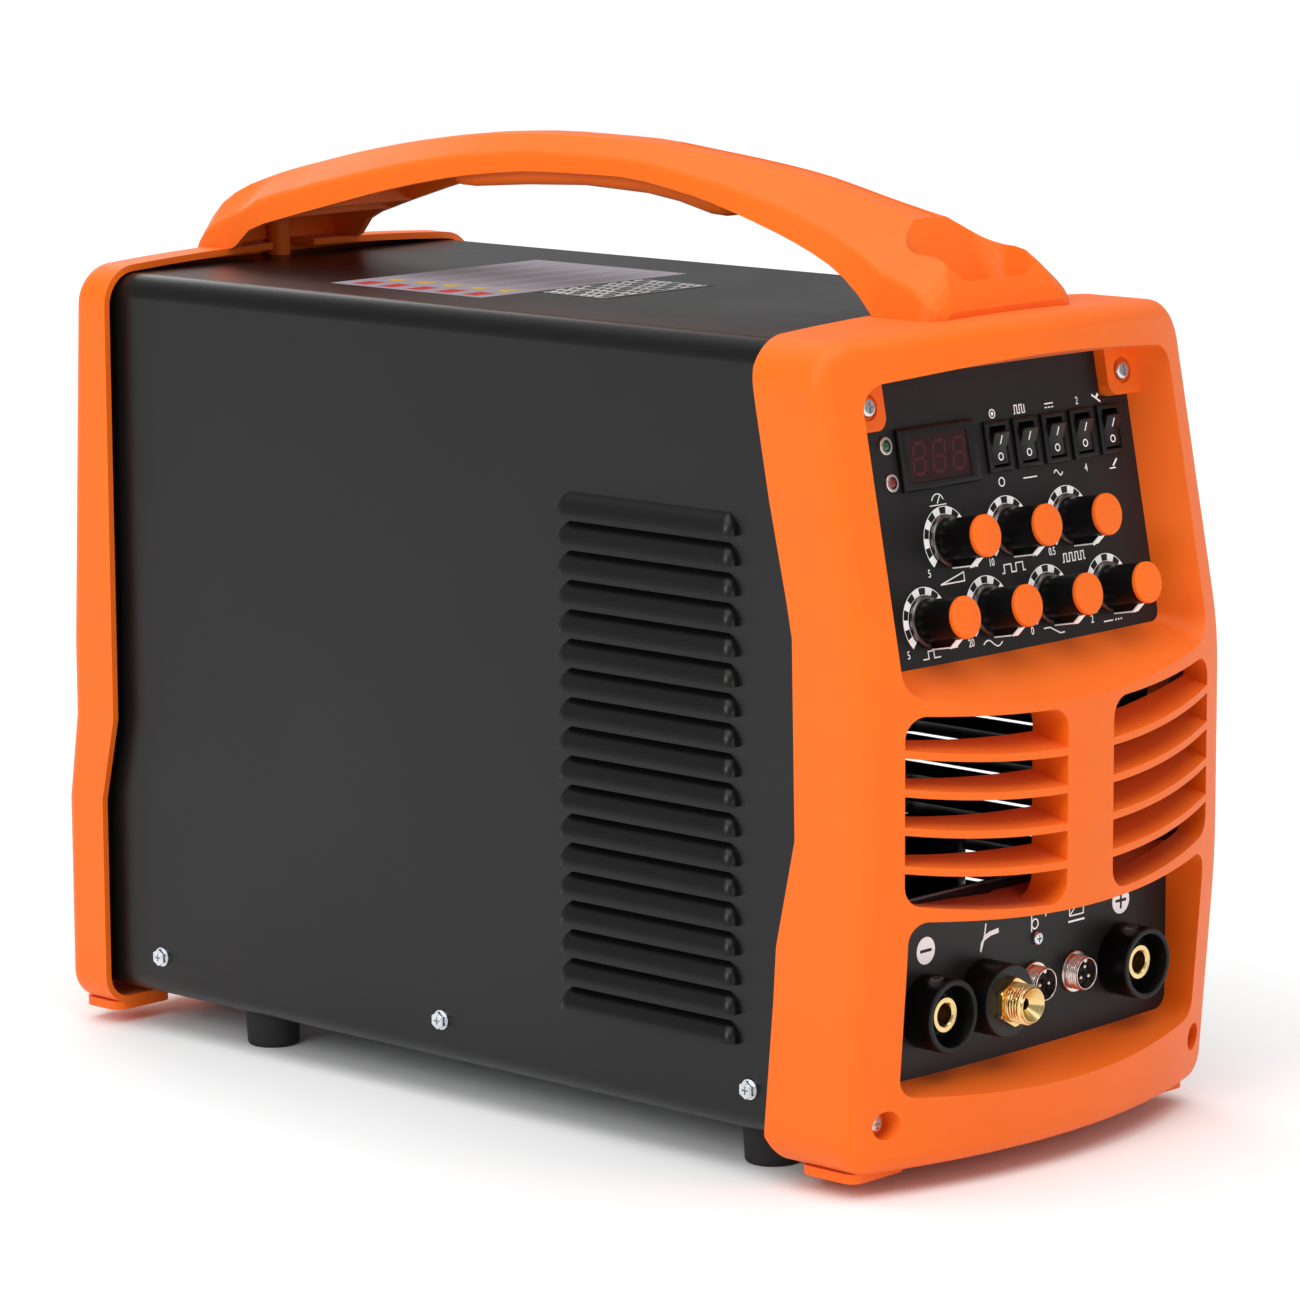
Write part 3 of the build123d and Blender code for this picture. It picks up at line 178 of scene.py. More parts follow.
def powder_coat(name, color, roughness, specular=0.26):
    """Matt powder coat: orange peel, fine speckle and a slow change of sheen."""
    material, nodes, links, principled = shader(name, color, roughness, specular=specular)
    speckle = noise(nodes, links, 2600.0, 2.0)
    peel = noise(nodes, links, 420.0, 2.0)
    slow = noise(nodes, links, 7.0, 3.0)
    base = tint(nodes, links, speckle.outputs["Fac"], color, 0.86, 1.16)
    links.new(base.outputs["Color"], principled.inputs["Base Color"])
    links.new(spread(nodes, links, slow.outputs["Fac"], roughness - 0.05, roughness + 0.07),
              principled.inputs["Roughness"])
    first = bump(nodes, links, principled, speckle.outputs["Fac"], 0.25, 0.00004)
    second = nodes.new("ShaderNodeBump")
    second.inputs["Strength"].default_value = 0.25
    second.inputs["Distance"].default_value = 0.00012
    links.new(peel.outputs["Fac"], second.inputs["Height"])
    links.new(first.outputs["Normal"], second.inputs["Normal"])
    links.new(second.outputs["Normal"], principled.inputs["Normal"])
    return material


def metal(name, color, roughness, stretch=None, scale=900.0, depth=0.00003, dark=0.82):
    """Bare or plated metal with turning or rolling marks."""
    material, nodes, links, principled = shader(name, color, roughness, metallic=1.0)
    marks = noise(nodes, links, scale, 3.0, stretch)
    slow = noise(nodes, links, 60.0, 3.0)
    base = tint(nodes, links, slow.outputs["Fac"], color, dark, 1.04)
    links.new(base.outputs["Color"], principled.inputs["Base Color"])
    links.new(spread(nodes, links, marks.outputs["Fac"], roughness - 0.06, roughness + 0.10),
              principled.inputs["Roughness"])
    bump(nodes, links, principled, marks.outputs["Fac"], 0.3, depth)
    return material


def ink(name, color, roughness=0.55):
    """Screen-printed ink, a little uneven."""
    material, nodes, links, principled = shader(name, color, roughness, specular=0.3)
    cover = noise(nodes, links, 900.0, 3.0)
    base = tint(nodes, links, cover.outputs["Fac"], color, 0.88, 1.05)
    links.new(base.outputs["Color"], principled.inputs["Base Color"])
    links.new(spread(nodes, links, cover.outputs["Fac"], roughness - 0.08, roughness + 0.08),
              principled.inputs["Roughness"])
    bump(nodes, links, principled, cover.outputs["Fac"], 0.15, 0.00002)
    return material


def lens_material(name, color, roughness=0.12):
    """Tinted clear plastic over a dark inside."""
    material, nodes, links, principled = shader(name, color, roughness)
    principled.inputs["Transmission Weight"].default_value = 0.35
    principled.inputs["IOR"].default_value = 1.49
    principled.inputs["Coat Weight"].default_value = 0.6
    principled.inputs["Coat Roughness"].default_value = 0.08
    flow = noise(nodes, links, 220.0, 2.0)
    base = tint(nodes, links, flow.outputs["Fac"], color, 0.7, 1.3)
    links.new(base.outputs["Color"], principled.inputs["Base Color"])
    bump(nodes, links, principled, flow.outputs["Fac"], 0.1, 0.00005)
    return material


def laminate(name):
    """Green solder mask with tracks showing through."""
    color = (0.015, 0.12, 0.045)
    material, nodes, links, principled = shader(name, color, 0.3)
    coords = nodes.new("ShaderNodeTexCoord")
    tracks = nodes.new("ShaderNodeTexBrick")
    tracks.inputs["Scale"].default_value = 90.0
    tracks.inputs["Color1"].default_value = (0.012, 0.10, 0.04, 1)
    tracks.inputs["Color2"].default_value = (0.02, 0.15, 0.06, 1)
    tracks.inputs["Mortar"].default_value = (0.06, 0.30, 0.12, 1)
    tracks.inputs["Mortar Size"].default_value = 0.03
    links.new(coords.outputs["Object"], tracks.inputs["Vector"])
    links.new(tracks.outputs["Color"], principled.inputs["Base Color"])
    bump(nodes, links, principled, tracks.outputs["Fac"], 0.3, 0.0001)
    return material


ORANGE = (0.93, 0.150, 0.004)
CHARCOAL = (0.0040, 0.0039, 0.0038)
MATERIALS = {
    "orange_moulding": moulded("orange_moulding", ORANGE, 0.46, variation=0.03, specular=0.25),
    "knob_cap_orange": moulded("knob_cap_orange", (0.93, 0.15, 0.006), 0.5, 900.0, specular=0.3),
    "black_gloss_plastic": moulded("black_gloss_plastic", (0.003, 0.003, 0.0035), 0.3, 2400.0,
                                   0.000002, specular=0.2, swing=0.01),
    "black_plastic": moulded("black_plastic", (0.006, 0.006, 0.0065), 0.36, 1800.0, 0.00001,
                             specular=0.3),
    "dark_powder_coat": powder_coat("dark_powder_coat", CHARCOAL, 0.38, 0.2),
    "panel_film": powder_coat("panel_film", (0.013, 0.0125, 0.013), 0.42),
    "zinc_sheet": metal("zinc_sheet", (0.42, 0.43, 0.44), 0.42, (1, 12, 1), 300.0),
    "brass": metal("brass", (0.90, 0.67, 0.30), 0.2, (1, 16, 1), 260.0),
    "bright_plating": metal("bright_plating", (0.80, 0.70, 0.66), 0.2, (1, 10, 1), 500.0),
    "zinc_steel": metal("zinc_steel", (0.72, 0.76, 0.80), 0.24, None, 1200.0),
    "black_rubber": moulded("black_rubber", (0.018, 0.018, 0.018), 0.7, 900.0, 0.0001, 0.15, 0.3),
    "red_window": moulded("red_window", (0.020, 0.0022, 0.0026), 0.34, 300.0, 0.00001, 0.2, 0.3),
    "green_lens": lens_material("green_lens", (0.02, 0.16, 0.05)),
    "red_lens": lens_material("red_lens", (0.33, 0.012, 0.01)),
    "board_laminate": laminate("board_laminate"),
    "black_aluminium": metal("black_aluminium", (0.30, 0.31, 0.32), 0.38, (1, 20, 1), 200.0),
    "core_and_winding": moulded("core_and_winding", (0.22, 0.08, 0.03), 0.4, 500.0, 0.0002, 0.3),
    "capacitor_sleeve": moulded("capacitor_sleeve", (0.012, 0.015, 0.05), 0.25, 300.0, 0.00004,
                                0.2),
    "control_steel": metal("control_steel", (0.5, 0.5, 0.5), 0.35),
    # White ink; below it is also made to glow faintly, which is painted light.
    "ink_white": ink("ink_white", (0.95, 0.95, 0.95)),
    "ink_grey": ink("ink_grey", (0.20, 0.21, 0.21)),
    "ink_black": ink("ink_black", (0.012, 0.012, 0.012)),
    "ink_red": ink("ink_red", (0.45, 0.03, 0.025)),
    "ink_yellow": ink("ink_yellow", (0.55, 0.38, 0.02)),
    "label_lilac": ink("label_lilac", (0.30, 0.27, 0.31)),
    "segment_red": ink("segment_red", (0.075, 0.008, 0.009), 0.4),
    "skirt_metal": metal("skirt_metal", (0.22, 0.21, 0.21), 0.34),
}


def tune(name, values):
    """Sets further sockets of a material's shader."""
    sockets = MATERIALS[name].node_tree.nodes["Principled BSDF"].inputs
    for socket, value in values.items():
        sockets[socket].default_value = value


tune("orange_moulding", {"Sheen Weight": 0.06})
tune("dark_powder_coat", {"Coat Weight": 0.26, "Coat Roughness": 0.24})
# Painted light: the white ink glows faintly, so all white prints stay bright where they lie in
# shade.
tune("ink_white", {"Emission Color": (1.0, 1.0, 1.0, 1.0), "Emission Strength": 0.14})


# ---------------------------------------------------------------- carried-over CAD nodes
FILM_NODES = ("control_panel", "connector_panel")
SOFT_EDGE = {"black_gloss_plastic": 0.25, "black_plastic": 0.25, "knob_cap_orange": 0.2,
             "black_rubber": 0.5}
WELD_GAP = 0.004


def dress_cad_nodes():
    """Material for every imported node, and softened edges on the plastic and rubber ones."""
    slots = {row["node"]: row["material_slot"] for row in frame["record"]["subparts"]}
    for name, node in NODES.items():
        slot = slots[name]
        node.data.materials.clear()
        node.data.materials.append(MATERIALS["panel_film" if name in FILM_NODES else slot])
        for polygon in node.data.polygons:
            polygon.use_smooth = True
            polygon.material_index = 0
        if slot not in SOFT_EDGE:
            continue
        weld = node.modifiers.new("weld", "WELD")
        weld.merge_threshold = WELD_GAP * MM
        bevel = node.modifiers.new("softened", "BEVEL")
        bevel.width = SOFT_EDGE[slot] * MM
        bevel.segments = 2
        bevel.limit_method = "ANGLE"
        bevel.angle_limit = SHARP
        bevel.use_clamp_overlap = True


# ---------------------------------------------------------------- mesh helpers
JOIN_GAP = 1e-7
MITRE_LIMIT = 0.35
# Face size for figures of height 1, and how much they are narrowed.
FACE_SIZE, NARROW = 1.42, 0.84


def piece(name, mesh, material, body="machine", smooth=True):
    """A named piece of the visual model, riding on a body."""
    obj = bpy.data.objects.new(name, mesh)
    bpy.context.scene.collection.objects.link(obj)
    mesh.materials.clear()
    mesh.materials.append(MATERIALS[material])
    if smooth:
        mesh.shade_smooth()
        mesh.set_sharp_from_angle(angle=SHARP)
    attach(obj, body)
    return obj


def mesh_of(name, points, faces):
    """A mesh with shared points joined and its faces turned outwards."""
    mesh = bpy.data.meshes.new(name)
    mesh.from_pydata([tuple(p) for p in points], [], faces)
    work = bmesh.new()
    work.from_mesh(mesh)
    bmesh.ops.remove_doubles(work, verts=work.verts, dist=JOIN_GAP)
    bmesh.ops.recalc_face_normals(work, faces=work.faces)
    work.to_mesh(mesh)
    work.free()
    return mesh


class Print:
    """Thin printed shapes collected on one surface: place(u, v, h) maps them there, all in mm."""

    def __init__(self, place, low=0.02, high=0.09):
        self.place, self.low, self.high = place, low, high
        self.points, self.faces = [], []

    def strip(self, left, right, closed=False):
        """A band between two rows of points."""
        start, n = len(self.points), len(left)
        for (a, b), (c, d) in zip(left, right):
            self.points += [self.place(a, b, self.high), self.place(c, d, self.high),
                            self.place(a, b, self.low), self.place(c, d, self.low)]
        for i in range(n if closed else n - 1):
            p, q = start + 4 * i, start + 4 * ((i + 1) % n)
            self.faces += [(p, q, q + 1, p + 1), (p + 2, p + 3, q + 3, q + 2),
                           (p, p + 2, q + 2, q), (p + 1, q + 1, q + 3, p + 3)]
        if not closed:
            for p in (start, start + 4 * (n - 1)):
                self.faces.append((p, p + 1, p + 3, p + 2))

    def stroke(self, path, width):
        """A line of even width through points, with mitred corners."""
        left, right = [], []
        for i, point in enumerate(path):
            here = Vector(point)
            before = (here - Vector(path[i - 1])).normalized() if i > 0 else None
            after = (Vector(path[i + 1]) - here).normalized() if i < len(path) - 1 else None
            along = ((before or after) + (after or before)).normalized()
            across = Vector((-along.y, along.x))
            ref = Vector((-(before or after).y, (before or after).x))
            reach = width / 2 / max(MITRE_LIMIT, across.dot(ref))
            left.append(here + across * reach)
            right.append(here - across * reach)
        self.strip(left, right)

    def bar(self, u0, u1, v0, v1):
        self.strip([(u0, v0), (u0, v1)], [(u1, v0), (u1, v1)])

    def arc(self, u, v, r0, r1, start, end, steps=12):
        """A band of a ring; angles in degrees, counter-clockwise from the right."""
        closed = abs(end - start) >= 360
        count = steps if closed else steps + 1
        angles = [math.radians(start + (end - start) * i / steps) for i in range(count)]
        inner = [(u + r0 * math.cos(a), v + r0 * math.sin(a)) for a in angles]
        outer = [(u + r1 * math.cos(a), v + r1 * math.sin(a)) for a in angles]
        self.strip(inner, outer, closed)

    def area(self, outline):
        """A filled convex outline."""
        start, n = len(self.points), len(outline)
        for u, v in outline:
            self.points += [self.place(u, v, self.high), self.place(u, v, self.low)]
        self.faces.append(tuple(start + 2 * i for i in range(n)))
        self.faces.append(tuple(start + 2 * i + 1 for i in reversed(range(n))))
        for i in range(n):
            p, q = start + 2 * i, start + 2 * ((i + 1) % n)
            self.faces.append((p, p + 1, q + 1, q))

    def disc(self, u, v, r, steps=40):
        self.area([(u + r * math.cos(math.tau * i / steps), v + r * math.sin(math.tau * i / steps))
                   for i in range(steps)])

    def number(self, text, u, v, height):
        """A number centred on a point, from the built-in face."""
        curve = bpy.data.curves.new("number", "FONT")
        curve.body = text
        curve.size = height * FACE_SIZE
        curve.align_x, curve.align_y = "CENTER", "CENTER"
        curve.space_character = 0.95
        curve.resolution_u = 3
        curve.extrude = 0.5
        holder = bpy.data.objects.new("number", curve)
        bpy.context.scene.collection.objects.link(holder)
        bpy.context.view_layer.update()
        mesh = bpy.data.meshes.new_from_object(holder)
        start = len(self.points)
        for vertex in mesh.vertices:
            level = self.high if vertex.co.z > 0 else self.low
            self.points.append(self.place(u + vertex.co.x * NARROW, v + vertex.co.y, level))
        for polygon in mesh.polygons:
            self.faces.append(tuple(start + i for i in polygon.vertices))
        bpy.data.objects.remove(holder)
        bpy.data.curves.remove(curve)
        bpy.data.meshes.remove(mesh)

    def done(self, name, material, body="machine"):
        return piece(name, mesh_of(name, self.points, self.faces), material, body, smooth=False)


def lathe(profile, place, segments=64, closed=True):
    """Points and faces of a turned shape; profile is (radius, along) in mm."""
    points, faces, n = [], [], len(profile)
    for i in range(segments):
        angle = math.tau * i / segments
        points += [place(r, angle, along) for r, along in profile]
    for i in range(segments):
        p, q = i * n, (i + 1) % segments * n
        for j in range(n if closed else n - 1):
            k = (j + 1) % n
            faces.append((p + j, p + k, q + k, q + j))
    return points, faces


def add_to(points, faces, more):
    start = len(points)
    points += more[0]
    faces += [tuple(start + i for i in face) for face in more[1]]


# ---------------------------------------------------------------- control panel prints
SCALE_START, SCALE_END, SCALE_PARTS = 225.0, -45.0, 15
NUMBER_HEIGHT = 3.3


def scale_ring(art, x, v):
    """Chequered scale round a knob, from lower left over the top to lower right."""
    step = (SCALE_END - SCALE_START) / SCALE_PARTS
    for i in range(0, SCALE_PARTS, 2):
        art.arc(x, v, 10.9, 13.9, SCALE_START + step * i, SCALE_START + step * (i + 1), 5)
    for r0, r1 in ((10.75, 10.95), (13.75, 14.05)):
        art.arc(x, v, r0, r1, SCALE_START, SCALE_END, 60)


def wave(u, v, width, height, cycles, duty=0.5):
    """Square wave through points, from the left."""
    path, pitch = [], width / cycles
    for i in range(cycles):
        a = u - width / 2 + i * pitch
        b, c = a + pitch * (1 - duty) / 2, a + pitch * (1 + duty) / 2
        path += [(a, v), (b, v), (b, v + height), (c, v + height), (c, v)]
    path.append((u + width / 2, v))
    return path


def sine(u, v, width, height):
    """One sine wave through points, from the left."""
    turns = [i / 16 for i in range(17)]
    return [(u + width * (t - 0.5), v + height / 2 * math.sin(math.tau * t)) for t in turns]


def knob_symbols(art):
    """A plain line symbol under each knob, in place of words."""
    width, line = 15.0, 0.55
    bases = [(x, v - (17.4 if i < 3 else 15.0)) for i, (x, v) in enumerate(KNOBS)]
    x, v = bases[0]
    left, right = x - width / 2, x + width / 2
    art.stroke([(left, v), (right, v), (right, v + 3.6), (left, v)], line)
    x, v = bases[1]
    art.stroke(wave(x, v, width, 3.4, 2, 0.6), line)
    x, v = bases[2]
    art.stroke(wave(x, v, width, 3.4, 4, 0.5), line)
    x, v = bases[3]
    art.stroke([(x - 5, v), (x - 1.5, v), (x - 1.5, v + 3.0), (x + 2, v + 3.0), (x + 2, v),
                (x + 6, v)], line)
    x, v = bases[4]
    art.stroke(sine(x, v + 1.2, 12, 3.0), line)
    x, v = bases[5]
    art.stroke([(x - 6, v + 3.0), (x - 2, v + 3.0), (x + 4, v), (x + 7, v)], line)
    x, v = bases[6]
    art.bar(x - 6, x, v + 0.6, v + 1.2)
    for i in range(3):
        art.disc(x + 2.0 + 1.8 * i, v + 0.9, 0.45, 12)


def rocker_symbols(art):
    """Plain symbols above and below each rocker."""
    above, below, line = ROCKER_V + 13.6, ROCKER_V - 14.6, 0.5
    x = [ROCKER_X0 + i * ROCKER_PITCH for i in range(ROCKERS)]
    art.arc(x[0], above, 1.5, 2.0, 0, 360, 28)
    art.disc(x[0], above, 0.8, 16)
    art.arc(x[0], below, 1.5, 2.0, 0, 360, 28)
    art.stroke(wave(x[1], above - 1.4, 9.5, 3.4, 3, 0.5)[:-3], line)
    art.bar(x[1] - 4.4, x[1] + 4.4, below - 0.25, below + 0.25)
    art.bar(x[2] - 2.8, x[2] + 2.8, above + 0.5, above + 1.0)
    for i in range(3):
        art.bar(x[2] - 2.8 + 2.1 * i, x[2] - 1.4 + 2.1 * i, above - 1.1, above - 0.6)
    art.stroke(sine(x[2], below, 5.6, 2.4), line)
    art.number("2", x[3], above, NUMBER_HEIGHT)
    art.number("4", x[3], below, NUMBER_HEIGHT)
    u = x[4] - 5.6
    art.stroke([(u - 2.6, above + 1.6), (u + 0.6, above - 0.4), (u + 2.6, above - 1.8)], 0.75)
    art.stroke([(u - 0.2, above - 0.1), (u + 1.6, above + 1.7)], 1.1)
    art.stroke([(x[4] + 2.4, below + 1.8), (x[4] - 0.6, below - 1.0)], 0.8)
    art.bar(x[4] - 3.0, x[4] + 1.0, below - 2.1, below - 1.6)


def panel_prints():
    """Scales, numbers and symbols printed on the control panel."""
    art = Print(on_panel)
    for (x, v), (low, high) in zip(KNOBS, KNOB_ENDS):
        scale_ring(art, x, v)
        art.number(low, x - 13.4, v - 12.2, NUMBER_HEIGHT)
        art.number(high, x + 14.6, v - 11.4, NUMBER_HEIGHT)
    knob_symbols(art)
    rocker_symbols(art)
    x, v = METER[0] - 3, METER[1] - 17.6
    art.arc(x, v - 1.4, 3.6, 4.05, 20, 160, 20)
    art.stroke([(x - 0.4, v - 1.4), (x + 1.6, v + 1.6)], 0.5)
    art.bar(x - 5.2, x + 5.2, v - 2.3, v - 1.9)
    art.done("panel_print", "ink_white")


def meter_segments():
    """Three unlit seven-segment figures behind the red window."""
    art = Print(on_panel, 1.81, 1.83)
    half_w, half_h, t, slope, pitch, gap = 3.5, 6.2, 1.35, 0.14, 12.4, 0.55
    ends = [((-1, 1), (1, 1)), ((-1, 0), (1, 0)), ((-1, -1), (1, -1)), ((-1, 0), (-1, 1)),
            ((1, 0), (1, 1)), ((-1, -1), (-1, 0)), ((1, -1), (1, 0))]
    for digit in range(3):
        u = METER[0] + (digit - 1) * pitch
        for (ax, ay), (bx, by) in ends:
            a, b = Vector((ax * half_w, ay * half_h)), Vector((bx * half_w, by * half_h))
            along = (b - a).normalized()
            a, b = a + along * gap, b - along * gap
            side = Vector((-along.y, along.x)) * t / 2
            nose = along * t / 2
            outline = [a, a + nose + side, b - nose + side, b, b - nose - side, a + nose - side]
            art.area([(u + p.x + p.y * slope, METER[1] + p.y) for p in outline])
    art.done("meter_segments", "segment_red")


# ---------------------------------------------------------------- knobs and rockers
# Skirt profile as (radius, out), and the two edges of the pointer line as (up, out).
SKIRT = [(8.9, 2.25), (9.4, 2.42), (10.0, 2.3), (10.45, 1.7), (10.5, 0.6), (10.2, 0.35),
         (9.2, 2.05)]
POINTER_OUTER = [(-11.68, 2.5), (-11.68, 12.65), (-8.63, 16.7)]
POINTER_INNER = [(-11.1, 2.5), (-11.1, 12.4), (-8.4, 16.1)]
POINTER_HALF = 1.75


def knob_details(index):
    """Bright skirt under the knob and the white line along its pointer."""
    x, v = KNOBS[index]
    body = f"knob_{index + 1}"

    def turned(r, angle, along):
        return on_panel(x + r * math.cos(angle), v + r * math.sin(angle), along)

    piece(f"knob_skirt_{index + 1}", mesh_of("skirt", *lathe(SKIRT, turned)), "skirt_metal", body)
    points = [on_panel(x + w, v + s, h) for row in zip(POINTER_OUTER, POINTER_INNER) for s, h in row
              for w in (-POINTER_HALF, POINTER_HALF)]
    faces = [(0, 1, 3, 2), (8, 10, 11, 9)]
    for p in (0, 4):
        faces += [(p, p + 4, p + 5, p + 1), (p + 2, p + 3, p + 7, p + 6),
                  (p, p + 2, p + 6, p + 4), (p + 1, p + 5, p + 7, p + 3)]
    line = mesh_of("line", points, faces)
    piece(f"knob_line_{index + 1}", line, "ink_white", body, smooth=False)


def rocker_place(index, upper):
    """Maps (across, along, out) on one half of a tilted rocker key to the row frame."""
    half, low, ridge, pivot = 7.2, 3.2, 1.6, -1.5
    along = Vector((half, (low - ridge))).normalized()
    if not upper:
        along.y = -along.y
    out = Vector((-along.y, along.x))
    x = ROCKER_X0 + index * ROCKER_PITCH
    cos, sin = math.cos(ROCKER_TILT), math.sin(ROCKER_TILT)

    def place(u, s, h):
        v, level = along.x * s + out.x * h, ridge + along.y * s + out.y * h - pivot
        return on_panel(x + u, ROCKER_V + v * cos - level * sin, v * sin + level * cos + pivot)

    return place


def rocker_marks(index):
    """The line on a rocker's upper half and the ring on its lower half."""
    body = f"rocker_{index + 1}"
    mark = Print(rocker_place(index, True), 0.0, 0.06)
    mark.bar(-0.3, 0.3, 1.6, 5.4)
    mark.done(f"rocker_line_{index + 1}", "ink_white", body)
    ring = Print(rocker_place(index, False), 0.0, 0.06)
    ring.arc(0, -3.6, 1.15, 1.65, 0, 360, 32)
    ring.done(f"rocker_ring_{index + 1}", "ink_white", body)


# ---------------------------------------------------------------- connector panel
def connector_prints():
    """Polarity discs and plain symbols printed above the connectors."""
    art = Print(on_front)
    for side in (-1, 1):
        art.disc(side * POLARITY_X, POLARITY_Z, 5.7)
    x, z = GAS_X + 4.0, 96.2
    art.stroke([(x - 5.5, z - 7.0), (x - 3.2, z - 1.5), (x - 2.2, z + 4.5)], 0.8)
    art.stroke([(x - 5.5, z - 7.0), (x - 5.0, z - 3.6), (x - 3.0, z - 1.0)], 0.8)
    art.stroke([(x - 3.4, z - 1.6), (x + 0.5, z - 0.2), (x + 6.0, z + 0.3)], 2.0)
    x = SIGNAL_X[0] + 3.6
    for u, ring_z, low, high in ((x - 2.4, 95.2, 92.0, 99.4), (x + 2.4, 101.0, 97.2, 104.2)):
        art.arc(u, ring_z, 1.7, 2.35, 0, 360, 24)
        stem = x + math.copysign(4.6, u - x)
        art.stroke([(stem, low), (stem, high)], 0.65)
    x = SIGNAL_X[1] + 1.8
    left, right, low, high = x - 4.6, x + 4.6, 94.6, 103.0
    art.stroke([(left, low), (right, low), (right, high), (left, high), (left, low)], 0.55)
    art.stroke([(x - 4.4, 94.8), (x + 4.4, 102.8)], 0.55)
    art.bar(x - 5.4, x + 5.4, 91.8, 92.6)
    art.done("connector_print", "ink_white")
    signs = Print(on_front, 0.09, 0.14)
    half, reach = 0.65, 3.6
    for side in (-1, 1):
        u = side * POLARITY_X
        signs.bar(u - reach, u + reach, POLARITY_Z - half, POLARITY_Z + half)
    signs.bar(POLARITY_X - half, POLARITY_X + half, POLARITY_Z + half, POLARITY_Z + reach)
    signs.bar(POLARITY_X - half, POLARITY_X + half, POLARITY_Z - reach, POLARITY_Z - half)
    signs.done("connector_signs", "ink_black")


def barrel_marks():
    """Faint polarity discs on top of each current socket, turned a little to the left."""
    turn, out, half, reach = 0.16, 8.0, 0.3, 1.7
    for name, x, plus in (("negative", -SOCKET_X, False), ("positive", SOCKET_X, True)):
        def wrap(u, s, h, x=x):
            angle = u / SOCKET_R - turn
            r = SOCKET_R + h
            return at(x + r * math.sin(angle), -out - s, SOCKET_Z + r * math.cos(angle))

        disc = Print(wrap, 0.0, 0.05)
        disc.disc(0, 0, 2.6)
        disc.done(f"{name}_barrel_disc", "ink_grey")
        sign = Print(wrap, 0.05, 0.09)
        sign.bar(-reach, reach, -half, half)
        if plus:
            sign.bar(-half, half, half, reach)
            sign.bar(-half, half, -reach, -half)
        sign.done(f"{name}_barrel_sign", "ink_black")


def between_rings(rings, count):
    """Faces that join a row of rings with count points each."""
    faces = []
    for j in range(rings - 1):
        low, high = j * count, (j + 1) * count
        for i in range(count):
            k = (i + 1) % count
            faces.append((low + i, low + k, high + k, high + i))
    return faces


ROUND = 96
ROWS_PER_PITCH = 8


def thread(x, z, front, back, crest, root, pitch):
    """Outside of a screw thread along Y, fading out at both ends; front is the smaller y."""
    rows = int((back - front) / pitch * ROWS_PER_PITCH)
    points = []
    for j in range(rows + 1):
        y = front + (back - front) * j / rows
        fade = min(1.0, (y - front) / (0.7 * pitch), (back - y) / (0.5 * pitch))
        for i in range(ROUND):
            phase = (y / pitch - i / ROUND) % 1.0
            height = min(1.0, 1.25 * (1 - abs(2 * phase - 1)))
            r = root + (crest - root) * height * max(fade, 0.0)
            angle = math.tau * i / ROUND
            points.append(at(x + r * math.cos(angle), y, z + r * math.sin(angle)))
    return points, between_rings(rows + 1, ROUND)


def turned_along_y(x, z):
    """Placing for lathe() round an axis that runs along Y."""
    def place(r, angle, along):
        return at(x + r * math.cos(angle), along, z + r * math.sin(angle))
    return place


HEX_POINTS = 60
HEX_CORNER = 1.1547
HEX_CHAMFER = 0.5


def hexagon(x, z, y0, y1, across, bore, edge):
    """A chamfered hexagon with a round hole, along Y; edge is what the corners lose at its ends."""
    points = []
    for y, inset in ((y0, edge), (y0 + HEX_CHAMFER, 0.0), (y1 - HEX_CHAMFER, 0.0), (y1, edge)):
        for i in range(HEX_POINTS):
            angle = math.tau * i / HEX_POINTS
            within = (angle + math.pi / 6) % (math.pi / 3) - math.pi / 6
            r = min(across / 2 / math.cos(within), across / 2 * HEX_CORNER - inset)
            points.append(at(x + r * math.cos(angle), y, z + r * math.sin(angle)))
    faces = between_rings(4, HEX_POINTS)
    front, back, last = 4 * HEX_POINTS, 5 * HEX_POINTS, 3 * HEX_POINTS
    for y in (y0, y1):
        for i in range(HEX_POINTS):
            angle = math.tau * i / HEX_POINTS
            points.append(at(x + bore * math.cos(angle), y, z + bore * math.sin(angle)))
    for i in range(HEX_POINTS):
        k = (i + 1) % HEX_POINTS
        faces.append((i, k, front + k, front + i))
        faces.append((last + i, last + k, back + k, back + i))
        faces.append((front + i, front + k, back + k, back + i))
    return points, faces


def gas_fitting():
    """Brass outlet with a hexagon, a real thread and a cone mouth."""
    place = turned_along_y(GAS_X, SOCKET_Z)
    points, faces = [], []
    add_to(points, faces, hexagon(GAS_X, SOCKET_Z, -18.0, -15.02, 18.5, 5.0, 0.6))
    add_to(points, faces, thread(GAS_X, SOCKET_Z, -26.4, -18.0, 8.4, 7.35, 1.4))
    core = [(7.35, -26.4), (7.3, -26.8), (7.05, -27.0), (6.85, -27.0), (6.7, -26.85),
            (2.4, -22.5), (2.4, 22.0), (5.0, 22.0), (5.0, -18.0), (7.35, -18.0)]
    add_to(points, faces, lathe(core, place, ROUND, closed=False))
    body = piece("gas_outlet", mesh_of("gas_outlet", points, faces), "brass")
    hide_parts("torch_gas_fitting")


